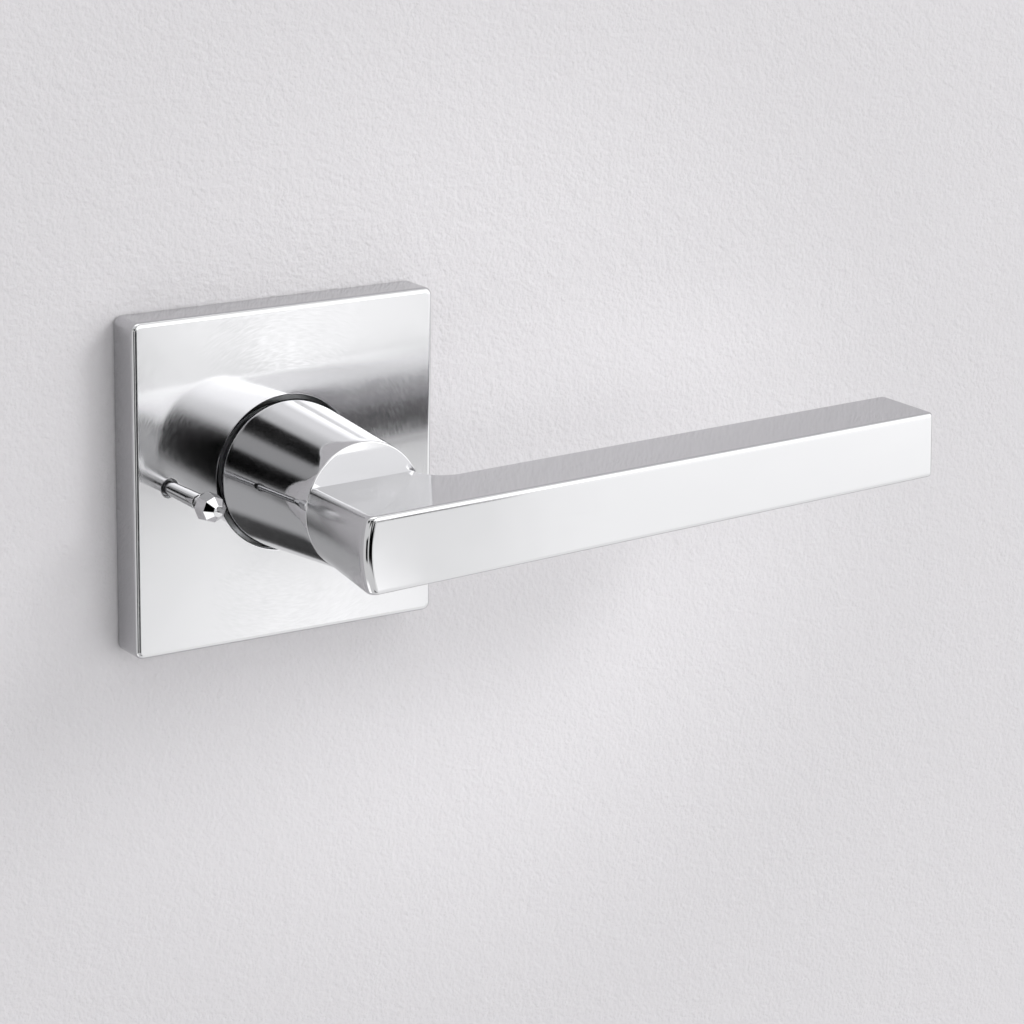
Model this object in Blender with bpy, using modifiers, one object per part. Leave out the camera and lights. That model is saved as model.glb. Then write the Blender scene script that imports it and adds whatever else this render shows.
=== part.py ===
"""Interior half of a privacy door lever: square rose, round neck and rectangular arm.

World frame: +Z is up, the door's face is the plane Y = 0, and the room is on its -Y side.
The origin is where the spindle's axis crosses the door's face. Every piece hangs under an
empty that stands the drawing upright. In that drawing, x runs along the arm, y is up and
z is the distance out of the door, so a negative z is inside the door.
"""

import math

import bmesh
import bpy
from mathutils import Euler, Matrix, Vector

COLLECTION = "privacy_door_lever"
CLEARANCE = 0.0003  # between pieces that touch
MERGE = 0.00001
TURN_STEPS = 40
SMOOTH_ANGLE = math.radians(35)
FULL_TURN = 2 * math.pi

# Rose: a shallow square pan, open towards the door
ROSE_SIDE = 0.0667
ROSE_DEPTH = 0.0078
ROSE_WALL = 0.0010
ROSE_EDGE = 0.0012
ROSE_BEVEL_STEPS = 3
NECK_HOLE_RADIUS = 0.0155
PIN_HOLE_RADIUS = 0.0018

# Plate behind the rose
PLATE_SIDE = 0.058
PLATE_THICKNESS = 0.0016
PLATE_CORNER = 0.003
PLATE_FRONT = PLATE_THICKNESS + CLEARANCE  # lowest height for what lies on the plate
SLEEVE_HOLE_RADIUS = 0.0106
BOLT_HOLE_RADIUS = 0.0029

# Bolts through the door, above and below the spindle
BOLT_OFFSET = 0.022
BOLT_RADIUS = 0.0024
BOLT_HEAD_RADIUS = 0.0044
BOLT_HEAD_HEIGHT = 0.0022
BOLT_CROWN_SHARE = 0.7  # the flat crown's share of the head's radius
BOLT_RIM_SHARE = 0.55  # the straight rim's share of the head's height
BOLT_END = -0.042
RECESS_LENGTH = 0.0046
RECESS_WIDTH = 0.0011
RECESS_DEPTH = 0.0012

# Clips that hold the rose on the plate
CLIP_THICKNESS = 0.0005
CLIP_WIDTH = 0.009
CLIP_ALONG_EDGE = 0.016
CLIP_FOOT_START = 0.0235
CLIP_LEG_REACH = 0.0316
CLIP_HEIGHT = 0.0062
CLIP_BEND = 0.0010
CLIP_BEND_RISE = 0.0016
CLIP_LEAN = 0.0006

# Lever: the rest pose stands a little above level
REST_TILT = math.radians(1.75)
NECK_GAP = 0.00055
NECK_BASE_RADIUS = 0.0149
NECK_END_RADIUS = 0.01275
NECK_END = 0.0374
NECK_CHAMFER = 0.0003
ARM_FRONT = 0.0600
ARM_BACK = 0.0435
ARM_TIP = 0.1197
ARM_HEIGHT = 0.0152
ARM_TIP_HEIGHT = 0.0134
ARM_DROP = 0.0021  # the arm's middle lies below the spindle's axis
ARM_EDGE = 0.0008
ARM_EDGE_STEPS = 3
ARM_CORNER = 0.0009
HEEL_REACH = 0.0135
HEEL_RADIUS = 0.024
HEEL_SLICES = 6
CROOK_RADIUS = 0.006
CROOK_STEPS = 5
ROOT_DEPTH = 0.004  # how far the arm's loft is sunk in the neck
ROOT_SHARE = 0.8
NECK_SEAM = 0.00005  # the heel starts this far inside the neck's end circle
STEM_SIDES = 48
BORE_RADIUS = 0.0093
BORE_END = 0.029

# Turning parts inside the rose and the door
SLEEVE_RADIUS = 0.0090
SLEEVE_FRONT = 0.0284
SLEEVE_BACK = -0.0130
GROOVE_RADIUS = 0.0082
GROOVE_LOW = 0.0042
GROOVE_HIGH = 0.0058
RING_RADIUS = 0.0112
RING_HALF_OPENING = math.radians(16)
WASHER_RADIUS = 0.0128
WASHER_LOW = 0.0032
BUSH_FLANGE_RADIUS = 0.0130
BUSH_FLANGE_THICKNESS = 0.0010
SPINDLE_SIDE = 0.0080
SPINDLE_FRONT = 0.0260
SPINDLE_BACK = -0.0500
SPINDLE_CHAMFER = 0.0010
GRUB_HEIGHT = 0.0195
GRUB_RADIUS = 0.0023
GRUB_TOP = 0.0132
GRUB_CHAMFER = 0.0004
GRUB_SOCKET_RADIUS = 0.0012
GRUB_SOCKET_DEPTH = 0.0018

# Spring case behind the plate
CASE_RADIUS = 0.0154
CASE_WALL = 0.0012
CASE_BACK = -0.0145
COVER_THICKNESS = 0.0012
COVER_HOLE_RADIUS = 0.0064
STOP_ANGLE = math.radians(57)
STOP_HALF_WIDTH = math.radians(3)
STOP_INNER_RADIUS = 0.0118
STOP_BACK = -0.0050

DRIVER_RADIUS = 0.0110
DRIVER_FRONT = -0.0020
DRIVER_BACK = -0.0042
FINGER_HALF_WIDTH = math.radians(7)
BLADE_HALF_WIDTH = math.radians(5)
FINGER_OUTER_RADIUS = 0.0137
FINGER_INNER_RADIUS = 0.0129
FINGER_BACK = -0.0100

COIL_RADIUS = 0.0115
COIL_WIRE = 0.00065
COIL_FRONT = -0.0060
COIL_BACK = -0.0128
COIL_TURNS = 4
COIL_POINTS_A_TURN = 16
LEG_ANGLE = math.radians(12)
LEG_RADIUS = 0.0133
ANCHOR_FRONT = -0.0103

# Privacy pin
PIN_X = -0.0258
PIN_Z = 0.0003
PIN_ROOT_RADIUS = 0.00135
PIN_NECK_RADIUS = 0.0016
PIN_HEAD_START = 0.0199
PIN_RIM = 0.0230
PIN_RIM_RADIUS = 0.00295
PIN_SHOULDER = 0.0256
PIN_SHOULDER_RADIUS = 0.0025
PIN_TIP = 0.0272
PIN_TIP_RADIUS = 0.0011
PIN_HEAD_SIDES = 8
PIN_SOCKET_DEPTH = 0.0015
YOKE_FRONT = 0.0064
YOKE_THICKNESS = 0.0010
YOKE_HALF_WIDTH = 0.0035
ROD_X = -0.0185
ROD_RADIUS = 0.0015
ROD_END = -0.040
ROD_GUIDE_RADIUS = 0.0024
ROD_GUIDE_BACK = -0.0010
LEAF_REACH = 0.0052
LEAF_BEND = 0.0008

LOOKS = {
    "polished_chrome": ((0.86, 0.87, 0.88), 1.0, 0.05),
    "pressed_steel": ((0.56, 0.57, 0.58), 1.0, 0.38),
    "spring_steel": ((0.34, 0.35, 0.37), 1.0, 0.33),
    "zinc_screw": ((0.66, 0.65, 0.60), 1.0, 0.34),
    "nylon": ((0.03, 0.03, 0.032), 0.0, 0.50),
}


def clear_scene():
    for obj in list(bpy.data.objects):
        bpy.data.objects.remove(obj, do_unlink=True)


def make_collection(name):
    collection = bpy.data.collections.new(name)
    bpy.context.scene.collection.children.link(collection)
    return collection


def look_of(name):
    material = bpy.data.materials.get(name)
    if material is None:
        colour, metallic, roughness = LOOKS[name]
        material = bpy.data.materials.new(name)
        material.use_nodes = True
        shader = material.node_tree.nodes["Principled BSDF"]
        shader.inputs["Base Color"].default_value = (*colour, 1.0)
        shader.inputs["Metallic"].default_value = metallic
        shader.inputs["Roughness"].default_value = roughness
    return material


def add_empty(name, parent=None, location=(0, 0, 0), rotation=(0, 0, 0)):
    obj = bpy.data.objects.new(name, None)
    obj.empty_display_size = 0.01
    parts.objects.link(obj)
    obj.parent = parent
    obj.location = location
    obj.rotation_euler = rotation
    return obj


def add_piece(name, data, look, parent, location=(0, 0, 0), rotation=(0, 0, 0)):
    obj = bpy.data.objects.new(name, data)
    parts.objects.link(obj)
    obj.parent = parent
    obj.location = location
    obj.rotation_euler = rotation
    data.materials.append(look_of(look))
    return obj


def make_cutter(obj):
    """Moves a helper body out of the parts, so that it only shapes other pieces."""
    parts.objects.unlink(obj)
    cutters.objects.link(obj)
    obj.hide_render = True
    obj.display_type = "WIRE"
    return obj


def mesh_from(name, bm):
    bmesh.ops.recalc_face_normals(bm, faces=bm.faces)
    mesh = bpy.data.meshes.new(name)
    bm.to_mesh(mesh)
    bm.free()
    return mesh


def box(name, low, high, look, parent):
    low = Vector(low)
    high = Vector(high)
    bm = bmesh.new()
    bmesh.ops.create_cube(bm, size=1.0)
    bmesh.ops.scale(bm, vec=high - low, verts=bm.verts)
    bmesh.ops.translate(bm, vec=(low + high) / 2, verts=bm.verts)
    return add_piece(name, mesh_from(name, bm), look, parent)


def turned(
    name, profile, look, parent, ring=False, steps=TURN_STEPS, location=(0, 0, 0), rotation=(0, 0, 0)
):
    """A body turned about its z axis: (radius, height) points down the outer side, and back if a ring."""
    mesh = bpy.data.meshes.new(name)
    count = len(profile)
    edges = [(i, i + 1) for i in range(count - 1)]
    if ring:
        edges.append((count - 1, 0))
    mesh.from_pydata([(radius, 0, height) for radius, height in profile], edges, [])
    obj = add_piece(name, mesh, look, parent, location, rotation)
    screw = obj.modifiers.new("Turn", "SCREW")
    screw.steps = screw.render_steps = steps
    screw.use_merge_vertices = True
    screw.merge_threshold = MERGE
    return obj


def rod(name, radius, low, high, chamfer, look, parent, location=(0, 0, 0), rotation=(0, 0, 0), steps=24):
    profile = [
        (0, high),
        (radius - chamfer, high),
        (radius, high - chamfer),
        (radius, low + chamfer),
        (radius - chamfer, low),
        (0, low),
    ]
    return turned(name, profile, look, parent, steps=steps, location=location, rotation=rotation)


def ring(name, inner, outer, low, high, look, parent):
    profile = [(inner, high), (outer, high), (outer, low), (inner, low)]
    return turned(name, profile, look, parent, ring=True)


def arc_points(radius, start, end, count, centre=(0, 0)):
    return [
        (
            centre[0] + radius * math.cos(start + (end - start) * i / count),
            centre[1] + radius * math.sin(start + (end - start) * i / count),
        )
        for i in range(count + 1)
    ]


def circle_points(radius, count=32, centre=(0, 0)):
    return arc_points(radius, 0, FULL_TURN, count, centre)[:-1]


def rounded_square(side, radius, count=5):
    inset = side / 2 - radius
    points = []
    for quarter in range(4):
        start = quarter * FULL_TURN / 4
        direction = start + FULL_TURN / 8
        centre = (math.copysign(inset, math.cos(direction)), math.copysign(inset, math.sin(direction)))
        points += arc_points(radius, start, start + FULL_TURN / 4, count, centre)
    return points


def slot_points(half_width, start_x, end_x, centre_y=0.0, count=12):
    right = arc_points(half_width, -FULL_TURN / 4, FULL_TURN / 4, count, (end_x, centre_y))
    left = arc_points(half_width, FULL_TURN / 4, FULL_TURN * 3 / 4, count, (start_x, centre_y))
    return right + left


def flat(name, loops, low, high, look, parent, rotation=(0, 0, 0), location=(0, 0, 0)):
    """A flat outline with holes, filled and thickened from height low to height high."""
    curve = bpy.data.curves.new(name, "CURVE")
    curve.dimensions = "2D"
    curve.fill_mode = "BOTH"
    curve.extrude = (high - low) / 2
    for loop in loops:
        spline = curve.splines.new("POLY")
        spline.points.add(len(loop) - 1)
        for point, (x, y) in zip(spline.points, loop):
            point.co = (x, y, 0, 1)
        spline.use_cyclic_u = True
    middle = Vector(location) + Euler(rotation).to_matrix() @ Vector((0, 0, (low + high) / 2))
    return add_piece(name, curve, look, parent, middle, rotation)


def strip_outline(path, thickness):
    """The outline of a thin strip bent along a path, with square bends."""
    sides = ([], [])
    last = len(path) - 1
    for i, point in enumerate(path):
        before = Vector(point) - Vector(path[i - 1]) if i > 0 else Vector(path[1]) - Vector(point)
        after = Vector(path[i + 1]) - Vector(point) if i < last else before
        normal_before = Vector((-before.y, before.x)).normalized()
        normal_after = Vector((-after.y, after.x)).normalized()
        mitre = (normal_before + normal_after).normalized()
        reach = thickness / 2 / max(mitre.dot(normal_after), 0.5)
        sides[0].append(tuple(Vector(point) + mitre * reach))
        sides[1].append(tuple(Vector(point) - mitre * reach))
    return sides[0] + sides[1][::-1]


def cut(obj, cutter, operation="DIFFERENCE"):
    boolean = obj.modifiers.new(cutter.name, "BOOLEAN")
    boolean.operation = operation
    boolean.object = cutter
    return boolean


def cylinder_cutter(
    name, radius, low, high, parent, location=(0, 0, 0), rotation=(0, 0, 0), steps=TURN_STEPS
):
    profile = [(0, high), (radius, high), (radius, low), (0, low)]
    obj = turned(name, profile, "pressed_steel", parent, steps=steps, location=location, rotation=rotation)
    return make_cutter(obj)


def square_cutter(name, side, low, high, parent):
    half = side / 2
    return make_cutter(box(name, (-half, -half, low), (half, half, high), "pressed_steel", parent))


def add_bevel(obj, width, segments):
    bevel = obj.modifiers.new("Rounded edges", "BEVEL")
    bevel.width = width
    bevel.segments = segments
    bevel.limit_method = "ANGLE"
    bevel.angle_limit = SMOOTH_ANGLE
    return bevel


def make_rose_cover():
    bm = bmesh.new()
    bmesh.ops.create_cube(bm, size=1.0)
    bmesh.ops.scale(bm, vec=(ROSE_SIDE, ROSE_SIDE, ROSE_DEPTH), verts=bm.verts)
    bmesh.ops.translate(bm, vec=(0, 0, ROSE_DEPTH / 2), verts=bm.verts)
    open_side = [face for face in bm.faces if face.calc_center_median().z < MERGE]
    bmesh.ops.delete(bm, geom=open_side, context="FACES_ONLY")
    cover = add_piece("rose_cover", mesh_from("rose_cover", bm), "polished_chrome", trim)
    add_bevel(cover, ROSE_EDGE, ROSE_BEVEL_STEPS)
    shell = cover.modifiers.new("Pressed shell", "SOLIDIFY")
    shell.thickness = ROSE_WALL
    shell.offset = -1
    shell.use_even_offset = True
    through = (ROSE_DEPTH - 2 * ROSE_WALL, ROSE_DEPTH + ROSE_WALL)
    cut(cover, cylinder_cutter("cut_neck_hole", NECK_HOLE_RADIUS, *through, trim))
    pin_place = (PIN_X, PIN_Z, 0)
    cut(cover, cylinder_cutter("cut_pin_hole", PIN_HOLE_RADIUS, *through, trim, pin_place, steps=20))
    return cover


def make_mounting_plate():
    loops = [rounded_square(PLATE_SIDE, PLATE_CORNER), circle_points(SLEEVE_HOLE_RADIUS)]
    loops += [circle_points(BOLT_HOLE_RADIUS, 20, (0, side * BOLT_OFFSET)) for side in (-1, 1)]
    loops.append(circle_points(ROD_GUIDE_RADIUS + CLEARANCE, 20, (ROD_X, PIN_Z)))
    loops.append(circle_points(PIN_HOLE_RADIUS, 16, (PIN_X, PIN_Z)))
    return flat("mounting_plate", loops, 0, PLATE_THICKNESS, "pressed_steel", trim)


def make_bolt(name, side):
    head_top = PLATE_FRONT + BOLT_HEAD_HEIGHT
    crown = BOLT_HEAD_RADIUS * BOLT_CROWN_SHARE
    shoulder = PLATE_FRONT + BOLT_HEAD_HEIGHT * BOLT_RIM_SHARE
    profile = [
        (0, head_top),
        (crown, head_top),
        (BOLT_HEAD_RADIUS, shoulder),
        (BOLT_HEAD_RADIUS, PLATE_FRONT),
        (BOLT_RADIUS, PLATE_FRONT),
        (BOLT_RADIUS, BOLT_END + BOLT_RADIUS / 2),
        (BOLT_RADIUS / 2, BOLT_END),
        (0, BOLT_END),
    ]
    bolt = turned(name, profile, "zinc_screw", trim, steps=24, location=(0, side * BOLT_OFFSET, 0))
    long_half = RECESS_LENGTH / 2
    short_half = RECESS_WIDTH / 2
    bottom = head_top - RECESS_DEPTH
    for suffix, (x, y) in (("a", (long_half, short_half)), ("b", (short_half, long_half))):
        low = (-x, -y + side * BOLT_OFFSET, bottom)
        high = (x, y + side * BOLT_OFFSET, head_top + RECESS_DEPTH)
        slot = box(f"cut_{name}_{suffix}", low, high, "zinc_screw", trim)
        cut(bolt, make_cutter(slot))
    return bolt


def make_rose_clip(name, angle):
    """A bent leaf: its foot lies on the plate, and its leg presses outwards on the rose's wall."""
    foot_height = PLATE_FRONT + CLIP_THICKNESS / 2
    path = [
        (CLIP_FOOT_START, foot_height),
        (CLIP_LEG_REACH - CLIP_BEND, foot_height),
        (CLIP_LEG_REACH, foot_height + CLIP_BEND_RISE),
        (CLIP_LEG_REACH - CLIP_LEAN, CLIP_HEIGHT),
    ]
    turn = (FULL_TURN / 4, 0, angle)
    along = Matrix.Rotation(angle, 3, "Z") @ Vector((0, CLIP_ALONG_EDGE, 0))
    half = CLIP_WIDTH / 2
    return flat(name, [strip_outline(path, CLIP_THICKNESS)], -half, half, "spring_steel", trim, turn, along)


def make_neck():
    """The turned neck, which narrows from the rose to a flat end in front of the arm's back."""
    base = ROSE_DEPTH + NECK_GAP
    profile = [
        (0, NECK_END),
        (NECK_END_RADIUS, NECK_END),
        (NECK_BASE_RADIUS, base + NECK_CHAMFER),
        (NECK_BASE_RADIUS - NECK_CHAMFER, base),
        (0, base),
    ]
    return turned("lever_handle", profile, "polished_chrome", lever, steps=STEM_SIDES)


def arm_levels():
    """(share of the half height, depth below the flat, inset) for each slice, from bottom to top."""
    turns = [FULL_TURN / 4 * i / ARM_EDGE_STEPS for i in range(ARM_EDGE_STEPS + 1)]
    rounded = [(ARM_EDGE * (1 - math.sin(turn)), ARM_EDGE * (1 - math.cos(turn))) for turn in turns]
    levels = [(-1, depth, inset) for depth, inset in rounded[::-1]]
    levels += [(-1 + 2 * i / HEEL_SLICES, ARM_EDGE, 0) for i in range(1, HEEL_SLICES)]
    levels += [(1, depth, inset) for depth, inset in rounded]
    return levels


def arm_outline(offset, inset):
    """The arm seen from above at one height: neck end, heel, front, tip, back and crook."""
    reach = math.sqrt((NECK_END_RADIUS - NECK_SEAM) ** 2 - (offset - ARM_DROP) ** 2)
    heel = HEEL_REACH - HEEL_RADIUS + math.sqrt(HEEL_RADIUS**2 - offset**2)
    corner = ARM_CORNER - inset
    quarter = FULL_TURN / 4
    front = ARM_FRONT - ARM_CORNER
    back = ARM_BACK + ARM_CORNER
    end = ARM_TIP - ARM_CORNER
    points = [((inset - reach) * ROOT_SHARE, NECK_END - ROOT_DEPTH), (inset - reach, NECK_END)]
    points += arc_points(corner, 2 * quarter, quarter, ARM_EDGE_STEPS, (ARM_CORNER - heel, front))
    points += arc_points(corner, quarter, 0, ARM_EDGE_STEPS, (end, front))
    points += arc_points(corner, 0, -quarter, ARM_EDGE_STEPS, (end, back))
    crook = (reach + CROOK_RADIUS, ARM_BACK - CROOK_RADIUS)
    points += arc_points(CROOK_RADIUS + inset, quarter, 2 * quarter, CROOK_STEPS, crook)
    points.append(((reach - inset) * ROOT_SHARE, NECK_END - ROOT_DEPTH))
    return points


def make_arm():
    """The bar and its heel, lofted through outlines stacked from the lower to the upper face."""
    slope = (ARM_TIP_HEIGHT - ARM_HEIGHT) / 2 / (ARM_TIP + HEEL_REACH)
    bm = bmesh.new()
    loops = []
    for share, depth, inset in arm_levels():
        outline = arm_outline(share * (ARM_HEIGHT / 2 - depth), inset)
        verts = []
        for x, z in outline:
            half = ARM_HEIGHT / 2 + slope * (x + HEEL_REACH)
            verts.append(bm.verts.new((x, share * (half - depth) - ARM_DROP, z)))
        loops.append(verts)
    for lower, upper in zip(loops, loops[1:]):
        for i in range(len(lower)):
            j = (i + 1) % len(lower)
            bm.faces.new((lower[i], lower[j], upper[j], upper[i]))
    bm.faces.new(loops[0])
    bm.faces.new(loops[-1])
    return make_cutter(add_piece("join_arm", mesh_from("join_arm", bm), "polished_chrome", lever))


def make_lever_handle():
    handle = make_neck()
    cut(handle, make_arm(), "UNION")
    cut(handle, cylinder_cutter("cut_lever_bore", BORE_RADIUS, ROSE_DEPTH, BORE_END, lever))
    downwards = (FULL_TURN / 4, 0, 0)
    hole_radius = GRUB_RADIUS + CLEARANCE
    place = (0, 0, GRUB_HEIGHT)
    reach = (BORE_RADIUS - GRUB_RADIUS, NECK_BASE_RADIUS + GRUB_RADIUS)
    cut(handle, cylinder_cutter("cut_grub_hole", hole_radius, *reach, lever, place, downwards, steps=20))
    return handle


def make_set_screw():
    """A grub screw that points at the spindle from the neck's underside, with a hexagon socket."""
    low = SLEEVE_RADIUS + CLEARANCE
    downwards = (FULL_TURN / 4, 0, 0)
    place = (0, 0, GRUB_HEIGHT)
    span = (low, GRUB_TOP)
    screw = rod("set_screw", GRUB_RADIUS, *span, GRUB_CHAMFER, "zinc_screw", lever, place, downwards, 20)
    socket = (GRUB_TOP - GRUB_SOCKET_DEPTH, GRUB_TOP + GRUB_SOCKET_DEPTH)
    cut(screw, cylinder_cutter("cut_socket", GRUB_SOCKET_RADIUS, *socket, lever, place, downwards, steps=6))
    return screw


def make_drive_sleeve():
    profile = [
        (0, SLEEVE_FRONT),
        (SLEEVE_RADIUS, SLEEVE_FRONT),
        (SLEEVE_RADIUS, GROOVE_HIGH),
        (GROOVE_RADIUS, GROOVE_HIGH),
        (GROOVE_RADIUS, GROOVE_LOW),
        (SLEEVE_RADIUS, GROOVE_LOW),
        (SLEEVE_RADIUS, SLEEVE_BACK),
        (0, SLEEVE_BACK),
    ]
    sleeve = turned("drive_sleeve", profile, "pressed_steel", lever)
    side = SPINDLE_SIDE + 2 * CLEARANCE
    past = SLEEVE_BACK - SPINDLE_CHAMFER, SLEEVE_FRONT + SPINDLE_CHAMFER
    cut(sleeve, square_cutter("cut_square_hole", side, *past, lever))
    return sleeve


def make_spindle():
    half = SPINDLE_SIDE / 2
    bar = box("spindle", (-half, -half, SPINDLE_BACK), (half, half, SPINDLE_FRONT), "pressed_steel", lever)
    add_bevel(bar, SPINDLE_CHAMFER / 2, 1)
    return bar


def make_retaining_ring():
    """An open ring in the sleeve's groove."""
    start = RING_HALF_OPENING
    end = FULL_TURN - RING_HALF_OPENING
    outer = arc_points(RING_RADIUS, start, end, 32)
    inner = arc_points(GROOVE_RADIUS + CLEARANCE, end, start, 32)
    low = GROOVE_LOW + CLEARANCE
    return flat("retaining_ring", [outer + inner], low, GROOVE_HIGH - CLEARANCE, "spring_steel", lever)


def sector_points(inner, outer, middle, half_width, count=4):
    out = arc_points(outer, middle - half_width, middle + half_width, count)
    return out + arc_points(inner, middle + half_width, middle - half_width, count)


def make_spring_driver():
    """The collar on the sleeve that meets the stops, and whose finger turns the spring."""
    start = FULL_TURN / 4 + FINGER_HALF_WIDTH
    end = FULL_TURN * 5 / 4 - FINGER_HALF_WIDTH
    outline = arc_points(DRIVER_RADIUS, start, end, 32)
    outline += arc_points(FINGER_OUTER_RADIUS, end - FULL_TURN, start, 4)
    loops = [outline, circle_points(SLEEVE_RADIUS + CLEARANCE)]
    collar = solid_from(flat("spring_driver", loops, DRIVER_BACK, DRIVER_FRONT, "pressed_steel", lever))
    finger = sector_points(FINGER_INNER_RADIUS, FINGER_OUTER_RADIUS, FULL_TURN / 4, BLADE_HALF_WIDTH)
    top = (DRIVER_BACK + DRIVER_FRONT) / 2
    blade = solid_from(flat("join_finger", [finger], FINGER_BACK, top, "pressed_steel", lever))
    cut(collar, make_cutter(blade), "UNION")
    return collar


def solid_from(curve_object):
    """Turns a curve object into a welded mesh object of the same name, so that it can be cut or joined."""
    name = curve_object.name
    parent = curve_object.parent
    bpy.context.view_layer.update()
    local = curve_object.matrix_local.copy()
    graph = bpy.context.evaluated_depsgraph_get()
    mesh = bpy.data.meshes.new_from_object(curve_object.evaluated_get(graph))
    bm = bmesh.new()
    bm.from_mesh(mesh)
    bmesh.ops.remove_doubles(bm, verts=bm.verts, dist=MERGE)
    bmesh.ops.recalc_face_normals(bm, faces=bm.faces)
    bm.to_mesh(mesh)
    bm.free()
    bpy.data.objects.remove(curve_object, do_unlink=True)
    mesh.name = name
    obj = bpy.data.objects.new(name, mesh)
    parts.objects.link(obj)
    obj.parent = parent
    obj.matrix_local = local
    return obj


def make_spring_case():
    """A cup behind the plate, open to the back, with two stops on its inner wall."""
    inner = CASE_RADIUS - CASE_WALL
    top = -CLEARANCE
    floor = top - CASE_WALL
    profile = [
        (SLEEVE_HOLE_RADIUS, top),
        (CASE_RADIUS, top),
        (CASE_RADIUS, CASE_BACK),
        (inner, CASE_BACK),
        (inner, floor),
        (SLEEVE_HOLE_RADIUS, floor),
    ]
    case = turned("spring_case", profile, "pressed_steel", trim, ring=True)
    into_wall = inner + CASE_WALL / 2
    for suffix, side in (("left", 1), ("right", -1)):
        middle = FULL_TURN / 4 + side * STOP_ANGLE
        outline = sector_points(STOP_INNER_RADIUS, into_wall, middle, STOP_HALF_WIDTH)
        into_floor = floor + CASE_WALL / 2
        stop = flat(f"join_stop_{suffix}", [outline], STOP_BACK, into_floor, "pressed_steel", trim)
        cut(case, make_cutter(solid_from(stop)), "UNION")
    return case


def make_spring_anchor():
    """The fixed tab between the spring's legs, which stands on the case's cover."""
    outline = sector_points(FINGER_INNER_RADIUS, FINGER_OUTER_RADIUS, FULL_TURN / 4, BLADE_HALF_WIDTH)
    return flat("spring_anchor", [outline], CASE_BACK, ANCHOR_FRONT, "pressed_steel", trim)


def make_return_spring():
    """A coil round the sleeve whose two legs stand on either side of the finger and the tab."""
    start = FULL_TURN / 4 + LEG_ANGLE
    end = FULL_TURN / 4 - LEG_ANGLE + FULL_TURN * COIL_TURNS
    count = COIL_TURNS * COIL_POINTS_A_TURN
    coil = []
    for i in range(count + 1):
        angle = start + (end - start) * i / count
        height = COIL_FRONT + (COIL_BACK - COIL_FRONT) * i / count
        coil.append((COIL_RADIUS * math.cos(angle), COIL_RADIUS * math.sin(angle), height))
    first_leg = (LEG_RADIUS * math.cos(start), LEG_RADIUS * math.sin(start))
    last_leg = (LEG_RADIUS * math.cos(end), LEG_RADIUS * math.sin(end))
    points = [(*first_leg, COIL_BACK), (*first_leg, COIL_FRONT)]
    points += coil
    points += [(*last_leg, COIL_BACK), (*last_leg, COIL_FRONT)]
    curve = bpy.data.curves.new("return_spring", "CURVE")
    curve.dimensions = "3D"
    curve.bevel_depth = COIL_WIRE
    curve.bevel_resolution = 2
    curve.use_fill_caps = True
    spline = curve.splines.new("POLY")
    spline.points.add(len(points) - 1)
    for point, place in zip(spline.points, points):
        point.co = (*place, 1)
    return add_piece("return_spring", curve, "spring_steel", trim)


def make_neck_bush():
    """A flanged bearing ring that guides the sleeve through the plate."""
    inner = SLEEVE_RADIUS + CLEARANCE
    outer = SLEEVE_HOLE_RADIUS - CLEARANCE
    flange_top = PLATE_FRONT + BUSH_FLANGE_THICKNESS
    profile = [
        (inner, flange_top),
        (BUSH_FLANGE_RADIUS, flange_top),
        (BUSH_FLANGE_RADIUS, PLATE_FRONT),
        (outer, PLATE_FRONT),
        (outer, -CASE_WALL),
        (inner, -CASE_WALL),
    ]
    return turned("neck_bush", profile, "nylon", trim, ring=True)


def make_pin_head():
    """The pushed knob: eight-sided, widening from the shaft and closing to a small face."""
    profile = [
        (0, PIN_TIP),
        (PIN_TIP_RADIUS, PIN_TIP),
        (PIN_SHOULDER_RADIUS, PIN_SHOULDER),
        (PIN_RIM_RADIUS, PIN_RIM),
        (PIN_NECK_RADIUS, PIN_HEAD_START),
        (0, PIN_HEAD_START),
    ]
    head = turned("pin_head", profile, "polished_chrome", pin, steps=PIN_HEAD_SIDES)
    head.modifiers["Turn"].use_smooth_shade = False
    socket = (PIN_HEAD_START - PIN_SOCKET_DEPTH, PIN_HEAD_START + PIN_SOCKET_DEPTH)
    cut(head, cylinder_cutter("cut_pin_socket", PIN_ROOT_RADIUS, *socket, pin, steps=16))
    return head


def make_pin_shaft():
    """The shaft: it tapers towards the rose, and its thin ends sit in the head and the yoke."""
    tenon = PIN_ROOT_RADIUS - CLEARANCE
    shoulder = PIN_HEAD_START - CLEARANCE
    profile = [
        (0, PIN_HEAD_START + PIN_SOCKET_DEPTH - CLEARANCE),
        (tenon, PIN_HEAD_START + PIN_SOCKET_DEPTH - CLEARANCE),
        (tenon, shoulder),
        (PIN_NECK_RADIUS, shoulder),
        (PIN_ROOT_RADIUS, YOKE_FRONT + CLEARANCE),
        (tenon, YOKE_FRONT + CLEARANCE),
        (tenon, YOKE_FRONT - YOKE_THICKNESS),
        (0, YOKE_FRONT - YOKE_THICKNESS),
    ]
    return turned("pin_shaft", profile, "polished_chrome", pin, steps=24)


def make_pin_yoke():
    """The flat link inside the rose that carries the push from the pin's shaft to the rod."""
    rod_place = ROD_X - PIN_X
    loops = [
        slot_points(YOKE_HALF_WIDTH, 0, rod_place),
        circle_points(PIN_ROOT_RADIUS, 16),
        circle_points(ROD_RADIUS, 16, (rod_place, 0)),
    ]
    return flat("pin_yoke", loops, YOKE_FRONT - YOKE_THICKNESS, YOKE_FRONT, "pressed_steel", pin)


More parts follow.
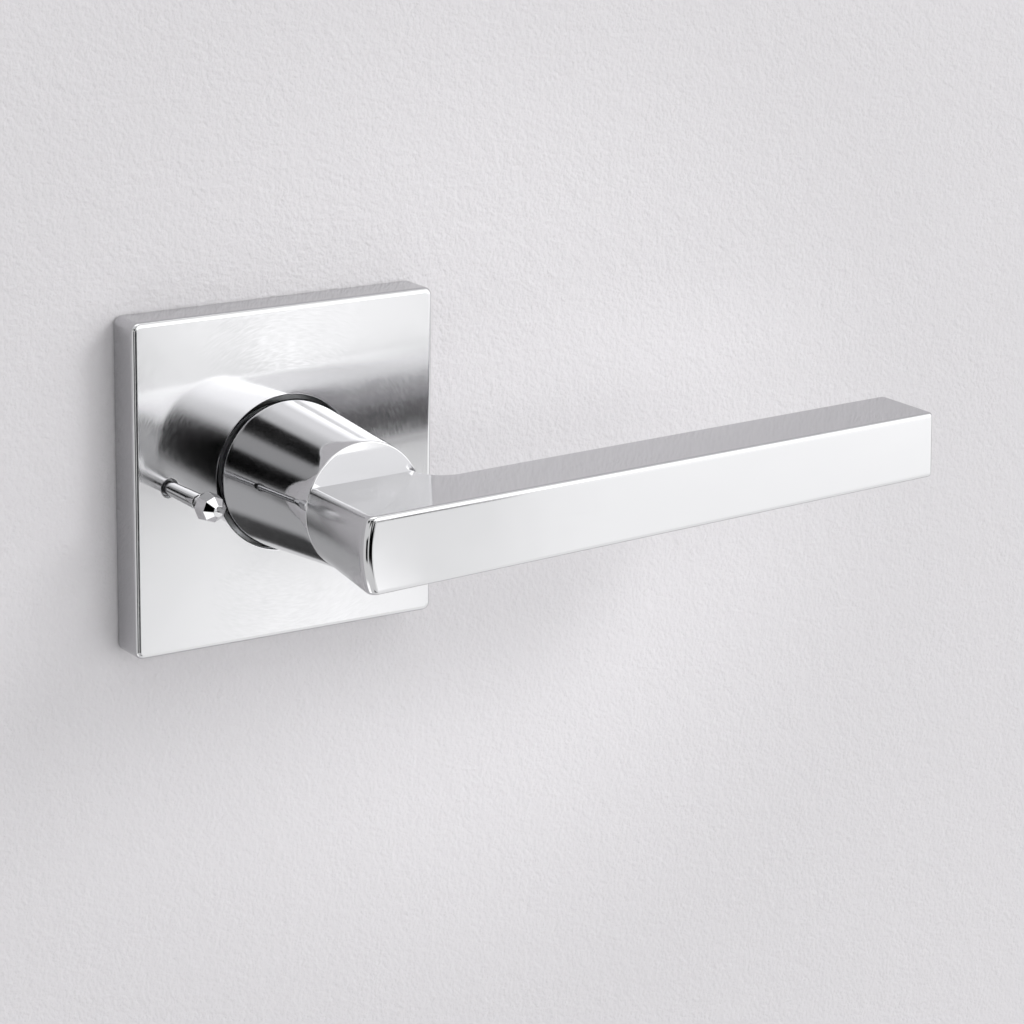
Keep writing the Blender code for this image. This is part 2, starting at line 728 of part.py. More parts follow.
def make_lock_rod():
    """The rod that reaches the lock inside the door, with a thin end in the yoke."""
    shoulder = YOKE_FRONT - YOKE_THICKNESS - CLEARANCE
    profile = [
        (0, YOKE_FRONT),
        (ROD_RADIUS - CLEARANCE, YOKE_FRONT),
        (ROD_RADIUS - CLEARANCE, shoulder),
        (ROD_RADIUS, shoulder),
        (ROD_RADIUS, ROD_END + ROD_RADIUS / 2),
        (ROD_RADIUS / 2, ROD_END),
        (0, ROD_END),
    ]
    return turned("lock_rod", profile, "pressed_steel", pin, steps=20, location=(ROD_X - PIN_X, 0, 0))


def make_rod_guide():
    inner = ROD_RADIUS + CLEARANCE
    profile = [
        (inner, PLATE_THICKNESS),
        (ROD_GUIDE_RADIUS, PLATE_THICKNESS),
        (ROD_GUIDE_RADIUS, ROD_GUIDE_BACK),
        (inner, ROD_GUIDE_BACK),
    ]
    return turned("rod_guide", profile, "nylon", trim, ring=True, steps=20, location=(ROD_X, PIN_Z, 0))


def make_detent_leaf():
    """A leaf on the plate that rubs on the yoke's upper side and holds the pin where it's put."""
    foot_height = PLATE_FRONT + CLIP_THICKNESS / 2
    side = YOKE_HALF_WIDTH + CLEARANCE + CLIP_THICKNESS / 2
    path = [
        (side + LEAF_REACH, foot_height),
        (side + LEAF_BEND, foot_height),
        (side, foot_height + LEAF_BEND),
        (side, YOKE_FRONT),
    ]
    turn = (FULL_TURN / 4, 0, FULL_TURN / 4)
    middle = (PIN_X + ROD_X) / 2
    place = (middle, PIN_Z, 0)
    width = (-YOKE_HALF_WIDTH, YOKE_HALF_WIDTH)
    outline = strip_outline(path, CLIP_THICKNESS)
    return flat("detent_leaf", [outline], *width, "spring_steel", trim, turn, place)


clear_scene()
parts = make_collection(COLLECTION)
cutters = make_collection("cutters")
trim = add_empty("door_datum", rotation=(FULL_TURN / 4, 0, 0))
lever = add_empty("lever_axis", trim, rotation=(0, 0, REST_TILT))
pin = add_empty("pin_axis", trim, location=(PIN_X, PIN_Z, 0))

make_rose_cover()
make_mounting_plate()
for bolt_name, bolt_side in (("through_bolt_upper", 1), ("through_bolt_lower", -1)):
    make_bolt(bolt_name, bolt_side)
for clip_index, clip_side in enumerate(("right", "upper", "left", "lower")):
    make_rose_clip(f"rose_clip_{clip_side}", clip_index * FULL_TURN / 4)
make_neck_bush()
make_spring_case()
ring("case_cover", COVER_HOLE_RADIUS, CASE_RADIUS, CASE_BACK - CLEARANCE - COVER_THICKNESS,
     CASE_BACK - CLEARANCE, "pressed_steel", trim)
make_spring_anchor()
make_return_spring()
make_rod_guide()
make_detent_leaf()

make_lever_handle()
make_set_screw()
make_drive_sleeve()
make_spindle()
make_spring_driver()
make_retaining_ring()
washer_hole = SLEEVE_RADIUS + CLEARANCE
ring("thrust_washer", washer_hole, WASHER_RADIUS, WASHER_LOW, GROOVE_LOW, "pressed_steel", lever)

make_pin_head()
make_pin_shaft()
make_pin_yoke()
make_lock_rod()

for piece in parts.objects:
    if piece.type == "MESH":
        piece.data.shade_smooth()
        piece.data.set_sharp_from_angle(angle=SMOOTH_ANGLE)
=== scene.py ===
"""Looks of the privacy door lever: fine meshes, procedural finishes, a wall to hang on and soft light.

Pieces are drawn upright, with x along the arm, y up and z out of the door. STAND turns that drawing
into the frame, where +Z is up and the room is on the -Y side of the door's face.
"""

import math

import bmesh
import bpy
from mathutils import Matrix, Vector


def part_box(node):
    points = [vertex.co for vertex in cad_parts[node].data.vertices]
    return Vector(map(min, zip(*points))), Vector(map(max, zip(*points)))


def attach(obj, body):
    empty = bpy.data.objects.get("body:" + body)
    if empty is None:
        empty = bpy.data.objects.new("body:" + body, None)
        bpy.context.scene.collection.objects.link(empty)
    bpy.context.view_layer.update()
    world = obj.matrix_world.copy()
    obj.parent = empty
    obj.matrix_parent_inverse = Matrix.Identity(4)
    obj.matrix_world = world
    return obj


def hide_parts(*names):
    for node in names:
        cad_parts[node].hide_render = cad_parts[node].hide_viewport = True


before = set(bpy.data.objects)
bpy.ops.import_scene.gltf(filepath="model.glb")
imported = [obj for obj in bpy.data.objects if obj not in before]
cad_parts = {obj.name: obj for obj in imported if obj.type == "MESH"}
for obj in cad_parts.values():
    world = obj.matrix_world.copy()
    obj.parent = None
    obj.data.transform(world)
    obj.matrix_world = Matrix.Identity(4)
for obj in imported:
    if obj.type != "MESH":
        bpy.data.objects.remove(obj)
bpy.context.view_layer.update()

TURN = 2 * math.pi
QUARTER = TURN / 4
WELD = 1e-6
SMOOTH_ANGLE = math.radians(30)
ROUND_ANGLE = math.radians(60)  # for coarse rounds that have no folds below it
TURN_STEPS = 128
SMALL_TURN_STEPS = 64
EDGE_STEPS = 6
STAND = Matrix.Rotation(QUARTER, 4, "X")

# Rose
rose_low, rose_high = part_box("rose_cover")
ROSE_SIDE = rose_high.x - rose_low.x
ROSE_DEPTH = -rose_low.y
ROSE_WALL = 0.0010
ROSE_EDGE = 0.0010
ROSE_EDGE_STEPS = 10
ROSE_CORNER = 0.0016
NECK_HOLE_RADIUS = 0.0155
NECK_HOLE_STEPS = 192
PIN_HOLE_RADIUS = 0.0018
HOLE_LIP = 0.00025
HOLE_LIP_STEPS = 5

# Lever
REST_TILT = math.radians(1.75)
LEVER_STAND = STAND @ Matrix.Rotation(REST_TILT, 4, "Z")
NECK_BASE = ROSE_DEPTH + 0.00055
NECK_BASE_RADIUS = 0.0149
NECK_END_RADIUS = 0.01275
NECK_END = 0.0374
NECK_BASE_EDGE = 0.0003
NECK_END_EDGE = 0.0003
NECK_END_TILT = math.radians(1.5)
NECK_STEPS = 256
NECK_RINGS = 24
BORE_RADIUS = 0.0093
BORE_END = 0.029
ARM_FRONT = -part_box("lever_handle")[0].y
ARM_BACK = 0.0435
ARM_TIP = 0.1197
ARM_HEIGHT = 0.0152
ARM_TIP_HEIGHT = 0.0134
ARM_DROP = 0.0021
ARM_EDGE = 0.0008
ARM_EDGE_STEPS = 8
ARM_CORNER = 0.0012
HEEL_CORNER = 0.0018
HEEL_REACH = 0.0135
HEEL_RADIUS = 0.024
HEEL_SLICES = 28
CROOK_RADIUS = 0.006
CROOK_STEPS = 24
ROOT_DEPTH = 0.004
ROOT_SHARE = 0.8
NECK_SEAM = 0.00005
GRUB_HEIGHT = 0.0195
GRUB_HOLE_RADIUS = 0.0026

# Privacy pin
pin_low, pin_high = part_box("pin_head")
PIN_X = (pin_low.x + pin_high.x) / 2
PIN_Z = (pin_low.z + pin_high.z) / 2
PIN_STAND = Matrix.Translation((PIN_X, 0, PIN_Z)) @ STAND
PIN_ROOT_RADIUS = 0.00135
PIN_NECK_RADIUS = 0.0016
PIN_TIP = -pin_low.y
PIN_HEAD_START = -pin_high.y
PIN_RIM = 0.0230
PIN_RIM_RADIUS = 0.00295
PIN_SHOULDER = 0.0256
PIN_SHOULDER_RADIUS = 0.0025
PIN_TIP_RADIUS = 0.0011
PIN_SIDES = 8
PIN_EDGE = 0.00006
PIN_EDGE_ANGLE = math.radians(8)
PIN_STEM_EDGE = 0.0001
YOKE_FRONT = 0.0064
YOKE_THICKNESS = 0.0010
GAP = 0.0003

# Mechanism
PLATE_THICKNESS = 0.0016
PLATE_FRONT = PLATE_THICKNESS + GAP
SLEEVE_HOLE_RADIUS = 0.0106
SLEEVE_RADIUS = 0.0090
SLEEVE_FRONT = 0.0284
SLEEVE_BACK = -0.0130
GROOVE_RADIUS = 0.0082
GROOVE_LOW = 0.0042
GROOVE_HIGH = 0.0058
SPINDLE_SIDE = 0.0080
SPINDLE_CORNER = 0.0006
WASHER_RADIUS = 0.0128
WASHER_LOW = 0.0032
FLANGE_RADIUS = 0.0130
FLANGE_THICKNESS = 0.0010
BOLT_OFFSET = 0.022
BOLT_RADIUS = 0.0024
BOLT_ROOT_RADIUS = 0.00205
BOLT_HEAD_RADIUS = 0.0044
BOLT_HEAD_HEIGHT = 0.0022
BOLT_RIM_SHARE = 0.45  # of the head's height, below its crown
BOLT_STEPS = 32
CROWN_STEPS = 9
BOLT_POINT_SHARE = 0.7  # of the radius, at the very end
BOLT_END = -0.042
THREAD_START = -0.008
THREAD_PITCH = 0.0008
THREAD_RINGS = 6  # in one pitch
RECESS_LENGTH = 0.0046
RECESS_WIDTH = 0.0011
RECESS_DEPTH = 0.0012
GRUB_RADIUS = 0.0023
GRUB_TOP = 0.0132
GRUB_CHAMFER = 0.0004
GRUB_SOCKET_RADIUS = 0.0012
GRUB_SOCKET_DEPTH = 0.0018
CASE_RADIUS = 0.0154
CASE_WALL = 0.0012
CASE_BACK = -0.0145
CASE_EDGE = 0.0005
STOP_ANGLE = math.radians(57)
STOP_HALF_WIDTH = math.radians(3)
STOP_INNER_RADIUS = 0.0118
STOP_BACK = -0.0050
COVER_THICKNESS = 0.0012
COVER_HOLE_RADIUS = 0.0064
COIL_RADIUS = 0.0115
COIL_WIRE = 0.00065
COIL_FRONT = -0.0060
COIL_BACK = -0.0128
COIL_TURNS = 4
COIL_STEPS = 48  # in one turn
COIL_SIDES = 12
SPRING_BEND_ANGLE = math.radians(130)  # a sharper corner of the path than this gets a bend
SPRING_BEND_STEPS = 5
LEG_ANGLE = math.radians(12)
LEG_RADIUS = 0.0133
ROD_X = -0.0185
ROD_RADIUS = 0.0015
ROD_END = -0.040
ROD_GUIDE_RADIUS = 0.0024
ROD_GUIDE_BACK = -0.0010
STAMPED_EDGE = 0.00012
TURNED_EDGE = 0.0002
STEEL_STAMPINGS = ("mounting_plate", "spring_anchor", "spindle", "spring_driver", "pin_yoke")
SPRING_STAMPINGS = ("rose_clip_left", "rose_clip_right", "rose_clip_upper", "rose_clip_lower")
SPRING_STAMPINGS += ("detent_leaf", "retaining_ring")

# Camera, from the photograph's viewing angle
CAMERA_TARGET = Vector((0.0513, -0.0100, -0.01488))
CAMERA_DISTANCE = 0.7698
CAMERA_AZIMUTH = math.radians(-33.25)
CAMERA_ELEVATION = math.radians(15.66)
CAMERA_ROLL = math.radians(0.76)
CAMERA_LENS = 133.2
CAMERA_SENSOR = 36
CAMERA_NEAR = 0.01

# Finishes. A pair is (least, most), and a depth is the relief's, in metres
CHROME = (0.55, 0.55, 0.56)
SPUN_ROUGHNESS = 0.105
SPUN_ANISOTROPY = 0.9
SPUN_GRAIN = 3200  # lines to the metre, outwards
SPUN_GRAIN_STRETCH = 0.004  # of a turn's angle, in metres
SPUN_DEPTH = 1.5e-7
PRESSING_WAVE = 8e-6
CHROME_HAZE = (0.03, 0.085)  # roughness
HAIRLINE_ROUGHNESS = 0.06
HAIRLINE_DEPTH = -2e-7
CASTING_WAVE = 1.6e-5
# painted shade: the arm's back is coloured dark along a strip, which is also rougher
SHADE_STRIP_COLOUR = (0.08, 0.08, 0.082)
SHADE_STRIP_HEIGHT = -0.0022  # from the middle of the arm's back
SHADE_STRIP_HALF = 0.0045
SHADE_STRIP_ROUGHNESS = 0.2
HEEL_ROUGHNESS = 0.11
RUBBED_ROUGHNESS = 0.1
RUBBED_DEPTH = -3e-7
STEEL_DULL = (0.50, 0.51, 0.53)
STEEL_BRIGHT = (0.60, 0.61, 0.62)
STEEL_ROUGHNESS = (0.30, 0.45)
STEEL_GRAIN = 3e-6
SPRING_DARK = (0.28, 0.29, 0.31)
SPRING_LIGHT = (0.38, 0.39, 0.41)
SPRING_ROUGHNESS = (0.24, 0.36)
SPRING_GRAIN = 2e-6
ZINC_DULL = (0.50, 0.49, 0.45)
ZINC_BRIGHT = (0.62, 0.61, 0.58)
ZINC_ROUGHNESS = (0.18, 0.32)
ZINC_GRAIN = 1e-6
NYLON_CLEAN = (0.030, 0.030, 0.032)
NYLON_GREASED = (0.012, 0.012, 0.012)
NYLON_ROUGHNESS = (0.36, 0.58)
NYLON_GRAIN = 4e-6
RAW_DARK = (0.025, 0.025, 0.026)
RAW_LIGHT = (0.050, 0.049, 0.047)
RAW_ROUGHNESS = (0.45, 0.7)
RAW_DRAW_LINES = 3e-6
WALL_PAINT = (0.451, 0.441, 0.454)
PAINTED_LIGHT_GAIN = 1.21  # times the paint, at the middle of a pool of light painted on the wall
PAINTED_LIGHT_CENTRE = (0.045, 0.0, -0.015)  # where that painted light is centred
PAINTED_LIGHT_FADE = (0.03, 0.13)  # from how far out to how far out the painted light falls off to the plain paint
WALL_ROUGHNESS = (0.55, 0.7)
ORANGE_PEEL = 0.00022
FLOOR_PAINT = (0.8, 0.8, 0.81)
FLOOR_ROUGHNESS = (0.6, 0.8)

# Stage
WALL_STAND = Matrix.Translation((0, 0.0003, 0)) @ STAND
WALL_OPENING = ROSE_SIDE - 0.002
WALL_HALF_WIDTH = 1.2
WALL_HEIGHT = 1.8
LAMP_AZIMUTH = math.radians(42)
LAMP_ELEVATION = math.radians(31)
LAMP_DISTANCE = 2.2
LAMP_SIZE = 0.7
LAMP_POWER = 16
FLOOR_DROP = 0.9
FLOOR_REACH = 2.4


def arc(radius, start, end, steps, centre=(0, 0)):
    turns = [start + (end - start) * i / steps for i in range(steps + 1)]
    return [(centre[0] + radius * math.cos(t), centre[1] + radius * math.sin(t)) for t in turns]


def circle(radius, steps=TURN_STEPS, centre=(0, 0)):
    return arc(radius, 0, TURN, steps, centre)[:-1]


def rounded_square(side, corner, steps=8):
    inset = side / 2 - corner
    points = []
    for sign_x, sign_y, start in ((1, 1, 0), (-1, 1, QUARTER), (-1, -1, 2 * QUARTER), (1, -1, 3 * QUARTER)):
        points += arc(corner, start, start + QUARTER, steps, (sign_x * inset, sign_y * inset))
    return points


def quarter_steps(radius, steps):
    """(inset, rise) pairs along a quarter round, from the side to the flat."""
    turns = [QUARTER * i / steps for i in range(steps + 1)]
    return [(radius * (1 - math.cos(t)), radius * math.sin(t)) for t in turns]


def add_loop(bm, points, height):
    return [bm.verts.new((x, y, height)) for x, y in points]


def bridge(bm, loops):
    for lower, upper in zip(loops, loops[1:]):
        for i in range(len(lower)):
            j = (i + 1) % len(lower)
            bm.faces.new((lower[i], lower[j], upper[j], upper[i]))


def fill(bm, loops):
    """A flat face bounded by the first loop, with the others as its holes."""
    edges = []
    for loop in loops:
        edges += [bm.edges.get((a, b)) or bm.edges.new((a, b)) for a, b in zip(loop, loop[1:] + loop[:1])]
    bmesh.ops.triangle_fill(bm, use_beauty=True, edges=edges)


def mesh_of(name, bm, stand):
    bmesh.ops.recalc_face_normals(bm, faces=bm.faces)
    bmesh.ops.transform(bm, matrix=stand, verts=bm.verts)
    mesh = bpy.data.meshes.new(name)
    bm.to_mesh(mesh)
    bm.free()
    return mesh


def add_object(name, mesh):
    obj = bpy.data.objects.new(name, mesh)
    bpy.context.scene.collection.objects.link(obj)
    return obj


def soften(obj, angle=SMOOTH_ANGLE):
    """Smooth shading that keeps flat faces flat and folds over the angle crisp."""
    obj.data.shade_smooth()
    obj.data.set_sharp_from_angle(angle=angle)
    weighted = obj.modifiers.new("Flat faces stay flat", "WEIGHTED_NORMAL")
    weighted.keep_sharp = True
    weighted.weight = 100


def finish_piece(obj, body, slot, material, *nodes):
    obj.data.materials.clear()
    obj.data.materials.append(material)
    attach(obj, body)
    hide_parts(*nodes)
    return obj


def revolve(profile, steps=TURN_STEPS, ring=False):
    """A bmesh turned about z from (radius, height) points."""
    bm = bmesh.new()
    verts = [bm.verts.new((radius, 0, height)) for radius, height in profile]
    pairs = zip(verts, verts[1:] + verts[:1]) if ring else zip(verts, verts[1:])
    edges = [bm.edges.new(pair) for pair in pairs]
    bmesh.ops.spin(bm, geom=verts + edges, axis=(0, 0, 1), angle=TURN, steps=steps, use_merge=True)
    bmesh.ops.remove_doubles(bm, verts=bm.verts, dist=WELD)
    return bm


def eased(points, radius, steps=3, closed=False):
    """The same outline with a small round on each of its inner corners."""
    made = []
    count = len(points)
    for i, corner in enumerate(points):
        if not closed and i in (0, count - 1):
            made.append(corner)
            continue
        here = Vector(corner)
        before = Vector(points[i - 1]) - here
        after = Vector(points[(i + 1) % count]) - here
        reach = min(radius, before.length / 3, after.length / 3)
        start = here + before.normalized() * reach
        end = here + after.normalized() * reach
        for step in range(steps + 1):
            t = step / steps
            made.append(tuple(start * (1 - t) ** 2 + here * 2 * t * (1 - t) + end * t**2))
    return made


def make_rose(material, inside):
    """The pressed pan, open towards the door: rolled edge, neck hole and pin hole with soft lips."""
    bm = bmesh.new()
    inner_side = ROSE_SIDE - 2 * ROSE_WALL
    inner_top = ROSE_DEPTH - ROSE_WALL
    lip_start = ROSE_DEPTH - HOLE_LIP
    inner_corner = ROSE_CORNER - ROSE_WALL
    skin = [add_loop(bm, rounded_square(inner_side, inner_corner), height) for height in (inner_top, 0)]
    skin.append(add_loop(bm, rounded_square(ROSE_SIDE, ROSE_CORNER), 0))
    for inset, rise in quarter_steps(ROSE_EDGE, ROSE_EDGE_STEPS):
        outline = rounded_square(ROSE_SIDE - 2 * inset, ROSE_CORNER - inset)
        skin.append(add_loop(bm, outline, ROSE_DEPTH - ROSE_EDGE + rise))
    bridge(bm, skin)
    front = [skin[-1]]
    back = [skin[0]]
    for radius, steps, centre in (
        (NECK_HOLE_RADIUS, NECK_HOLE_STEPS, (0, 0)),
        (PIN_HOLE_RADIUS, SMALL_TURN_STEPS, (PIN_X, PIN_Z)),
    ):
        wall = [add_loop(bm, circle(radius, steps, centre), inner_top)]
        for inset, rise in quarter_steps(HOLE_LIP, HOLE_LIP_STEPS):
            wall.append(add_loop(bm, circle(radius + inset, steps, centre), lip_start + rise))
        bridge(bm, wall)
        front.append(wall[-1])
        back.append(wall[0])
    fill(bm, front)
    fill(bm, back)
    reach = inner_side / 2 + WELD
    for face in bm.faces:
        hidden = [max(abs(v.co.x), abs(v.co.y)) < reach and v.co.z < lip_start + WELD for v in face.verts]
        face.material_index = int(all(hidden))
    rose = add_object("rose_shell", mesh_of("rose_shell", bm, STAND))
    soften(rose)
    finish_piece(rose, "trim", "polished_chrome", material, "rose_cover")
    rose.data.materials.append(inside)
    return rose


def neck_profile():
    """The hollow neck from its closed end down the outside and up the bore."""
    slope = (NECK_BASE_RADIUS - NECK_END_RADIUS) / (NECK_END - NECK_BASE)
    points = [(0, NECK_END), (NECK_END_RADIUS * 0.5, NECK_END)]
    low = NECK_BASE + NECK_BASE_EDGE
    high = NECK_END - NECK_END_EDGE
    points += arc(NECK_END_EDGE, QUARTER, 0, EDGE_STEPS, (NECK_END_RADIUS - NECK_END_EDGE, high))
    for i in range(1, NECK_RINGS):
        height = high + (low - high) * i / NECK_RINGS
        points.append((NECK_END_RADIUS + slope * (NECK_END - height), height))
    points += arc(NECK_BASE_EDGE, 0, -QUARTER, EDGE_STEPS, (NECK_BASE_RADIUS - NECK_BASE_EDGE, low))
    points += [(BORE_RADIUS, NECK_BASE), (BORE_RADIUS, BORE_END), (0, BORE_END)]
    return points


def arm_levels():
    """(share of the half height, depth below the flat, inset) for each slice, from bottom to top."""
    rounded = [(ARM_EDGE - rise, inset) for inset, rise in quarter_steps(ARM_EDGE, ARM_EDGE_STEPS)]
    levels = [(-1, depth, inset) for depth, inset in rounded[::-1]]
    levels += [(-1 + 2 * i / HEEL_SLICES, ARM_EDGE, 0) for i in range(1, HEEL_SLICES)]
    levels += [(1, depth, inset) for depth, inset in rounded]
    return levels


def arm_outline(offset, inset):
    """The arm seen from above at one height: neck end, heel, front, tip, back and crook."""
    reach = math.sqrt((NECK_END_RADIUS - NECK_SEAM) ** 2 - (offset - ARM_DROP) ** 2)
    heel = HEEL_REACH - HEEL_RADIUS + math.sqrt(HEEL_RADIUS**2 - offset**2)
    corner = ARM_CORNER - inset
    heel_corner = HEEL_CORNER - inset
    front = ARM_FRONT - ARM_CORNER
    back = ARM_BACK + ARM_CORNER
    end = ARM_TIP - ARM_CORNER
    points = [((inset - reach) * ROOT_SHARE, NECK_END - ROOT_DEPTH), (inset - reach, NECK_END)]
    heel_front = (HEEL_CORNER - heel, ARM_FRONT - HEEL_CORNER)
    points += arc(heel_corner, 2 * QUARTER, QUARTER, 2 * ARM_EDGE_STEPS, heel_front)
    points += arc(corner, QUARTER, 0, ARM_EDGE_STEPS, (end, front))
    points += arc(corner, 0, -QUARTER, ARM_EDGE_STEPS, (end, back))
    crook = (reach + CROOK_RADIUS, ARM_BACK - CROOK_RADIUS)
    points += arc(CROOK_RADIUS + inset, QUARTER, 2 * QUARTER, CROOK_STEPS, crook)
    points.append(((reach - inset) * ROOT_SHARE, NECK_END - ROOT_DEPTH))
    return points


def arm_body():
    """The bar and its heel, lofted through outlines stacked from the lower to the upper face."""
    slope = (ARM_TIP_HEIGHT - ARM_HEIGHT) / 2 / (ARM_TIP + HEEL_REACH)
    bm = bmesh.new()
    loops = []
    for share, depth, inset in arm_levels():
        loop = []
        for x, z in arm_outline(share * (ARM_HEIGHT / 2 - depth), inset):
            half = ARM_HEIGHT / 2 + slope * (x + HEEL_REACH)
            loop.append(bm.verts.new((x, share * (half - depth) - ARM_DROP, z)))
        loops.append(loop)
    bridge(bm, loops)
    bm.faces.new(loops[0])
    bm.faces.new(loops[-1])
    return bm


def combine(base, helpers):
    """The base with each (helper, operation) applied to it; the helpers are removed."""
    for helper, operation in helpers:
        boolean = base.modifiers.new(helper.name, "BOOLEAN")
        boolean.operation = operation
        boolean.object = helper
    bpy.context.view_layer.update()
    graph = bpy.context.evaluated_depsgraph_get()
    mesh = bpy.data.meshes.new_from_object(base.evaluated_get(graph))
    name = base.name
    for obj in [base] + [helper for helper, _ in helpers]:
        bpy.data.objects.remove(obj, do_unlink=True)
    mesh.name = name
    return add_object(name, mesh)


def make_lever(material):
    """Neck and arm in one casting, with the grub screw's hole on the underside."""
    turned = revolve(neck_profile(), NECK_STEPS)
    for vert in turned.verts:
        if vert.co.z > NECK_END - NECK_END_EDGE - WELD:
            vert.co.z -= vert.co.y * math.tan(NECK_END_TILT)
    neck = add_object("lever_casting", mesh_of("neck", turned, LEVER_STAND))
    arm = add_object("arm_helper", mesh_of("arm", arm_body(), LEVER_STAND))
    down = LEVER_STAND @ Matrix.Translation((0, 0, GRUB_HEIGHT)) @ Matrix.Rotation(QUARTER, 4, "X")
    top = NECK_BASE_RADIUS + GRUB_HOLE_RADIUS
    hole = [(0, BORE_RADIUS / 2), (GRUB_HOLE_RADIUS, BORE_RADIUS / 2), (GRUB_HOLE_RADIUS, top), (0, top)]
    drill = add_object("drill_helper", mesh_of("drill", revolve(hole, 48), down))
    lever = combine(neck, [(arm, "UNION"), (drill, "DIFFERENCE")])
    soften(lever)
    return finish_piece(lever, "lever", "polished_chrome", material, "lever_handle")


def make_pin_knob(material):
    profile = [
        (0, PIN_TIP),
        (PIN_TIP_RADIUS, PIN_TIP),
        (PIN_SHOULDER_RADIUS, PIN_SHOULDER),
        (PIN_RIM_RADIUS, PIN_RIM),
        (PIN_NECK_RADIUS, PIN_HEAD_START),
        (0, PIN_HEAD_START),
    ]
    knob = add_object("pin_knob", mesh_of("pin_knob", revolve(profile, PIN_SIDES), PIN_STAND))
    bevel = knob.modifiers.new("Polished edges", "BEVEL")
    bevel.width = PIN_EDGE
    bevel.segments = 3
    bevel.angle_limit = PIN_EDGE_ANGLE
    soften(knob, ROUND_ANGLE)
    return finish_piece(knob, "privacy_pin", "polished_chrome", material, "pin_head")


def make_pin_stem(material):
    tenon = PIN_ROOT_RADIUS - GAP
    shoulder = PIN_HEAD_START - GAP
    profile = [
        (0, shoulder),
        (PIN_NECK_RADIUS, shoulder),
        (PIN_ROOT_RADIUS, YOKE_FRONT + GAP),
        (tenon, YOKE_FRONT + GAP),
        (tenon, YOKE_FRONT - YOKE_THICKNESS),
        (0, YOKE_FRONT - YOKE_THICKNESS),
    ]
    turned = revolve(eased(profile, PIN_STEM_EDGE), SMALL_TURN_STEPS)
    stem = add_object("pin_stem", mesh_of("pin_stem", turned, PIN_STAND))
    soften(stem)
    return finish_piece(stem, "privacy_pin", "polished_chrome", material, "pin_shaft")


def add_turned(name, profile, body, slot, material, node, ring=False, place=(0, 0), stand=STAND, steps=96):
    """A turned piece with softened corners that stands for a hidden CAD node."""
    stand = stand @ Matrix.Translation((*place, 0))
    bm = revolve(eased(profile, TURNED_EDGE, closed=ring), steps, ring)
    piece = add_object(name, mesh_of(name, bm, stand))
    soften(piece)
    return finish_piece(piece, body, slot, material, node)


def prism(name, outline, low, high, stand=STAND):
    """A straight helper body for a boolean."""
    bm = bmesh.new()
    loops = [add_loop(bm, outline, height) for height in (low, high)]
    bridge(bm, loops)
    for loop in loops:
        bm.faces.new(loop)
    return add_object(name, mesh_of(name, bm, stand))


def sector(inner, outer, middle, half_width, steps=8):
    out = arc(outer, middle - half_width, middle + half_width, steps)
    return out + arc(inner, middle + half_width, middle - half_width, steps)


def make_bearings(nylon, steel):
    """The rings that the sleeve and the rod run in."""
    inner = SLEEVE_RADIUS + GAP
    outer = SLEEVE_HOLE_RADIUS - GAP
    flange_top = PLATE_FRONT + FLANGE_THICKNESS
    bush = [(inner, flange_top), (FLANGE_RADIUS, flange_top), (FLANGE_RADIUS, PLATE_FRONT)]
    bush += [(outer, PLATE_FRONT), (outer, -CASE_WALL), (inner, -CASE_WALL)]
    add_turned("neck_bearing", bush, "trim", "nylon", nylon, "neck_bush", ring=True)
    inner = ROD_RADIUS + GAP
    guide = [(inner, PLATE_THICKNESS), (ROD_GUIDE_RADIUS, PLATE_THICKNESS)]
    guide += [(ROD_GUIDE_RADIUS, ROD_GUIDE_BACK), (inner, ROD_GUIDE_BACK)]
    place = (ROD_X, PIN_Z)
    add_turned("rod_bearing", guide, "trim", "nylon", nylon, "rod_guide", ring=True, place=place, steps=48)
    inner = SLEEVE_RADIUS + GAP
    washer = [(inner, GROOVE_LOW), (WASHER_RADIUS, GROOVE_LOW)]
    washer += [(WASHER_RADIUS, WASHER_LOW), (inner, WASHER_LOW)]
    add_turned("pressure_washer", washer, "lever", "pressed_steel", steel, "thrust_washer", ring=True)


def make_case(steel):
    """The cup with its drawn edge and two stops, and the lid that closes it."""
    inner = CASE_RADIUS - CASE_WALL
    top = -GAP
    floor = top - CASE_WALL
    profile = [(SLEEVE_HOLE_RADIUS, top)]
    profile += arc(CASE_EDGE, QUARTER, 0, EDGE_STEPS, (CASE_RADIUS - CASE_EDGE, top - CASE_EDGE))
    profile += [(CASE_RADIUS, CASE_BACK), (inner, CASE_BACK), (inner, floor), (SLEEVE_HOLE_RADIUS, floor)]
    cup = add_object("spring_cup", mesh_of("spring_cup", revolve(profile, TURN_STEPS, True), STAND))
    stops = []
    stop_outer = inner + CASE_WALL / 2
    for side in (1, -1):
        outline = sector(STOP_INNER_RADIUS, stop_outer, QUARTER + side * STOP_ANGLE, STOP_HALF_WIDTH)
        stops.append((prism("stop_helper", outline, STOP_BACK, floor + CASE_WALL / 2), "UNION"))
    cup = combine(cup, stops)
    soften(cup)
    finish_piece(cup, "trim", "pressed_steel", steel, "spring_case")
    high = CASE_BACK - GAP
    low = high - COVER_THICKNESS
    lid = [(COVER_HOLE_RADIUS, high), (CASE_RADIUS, high), (CASE_RADIUS, low), (COVER_HOLE_RADIUS, low)]
    add_turned("spring_lid", lid, "trim", "pressed_steel", steel, "case_cover", ring=True, steps=TURN_STEPS)


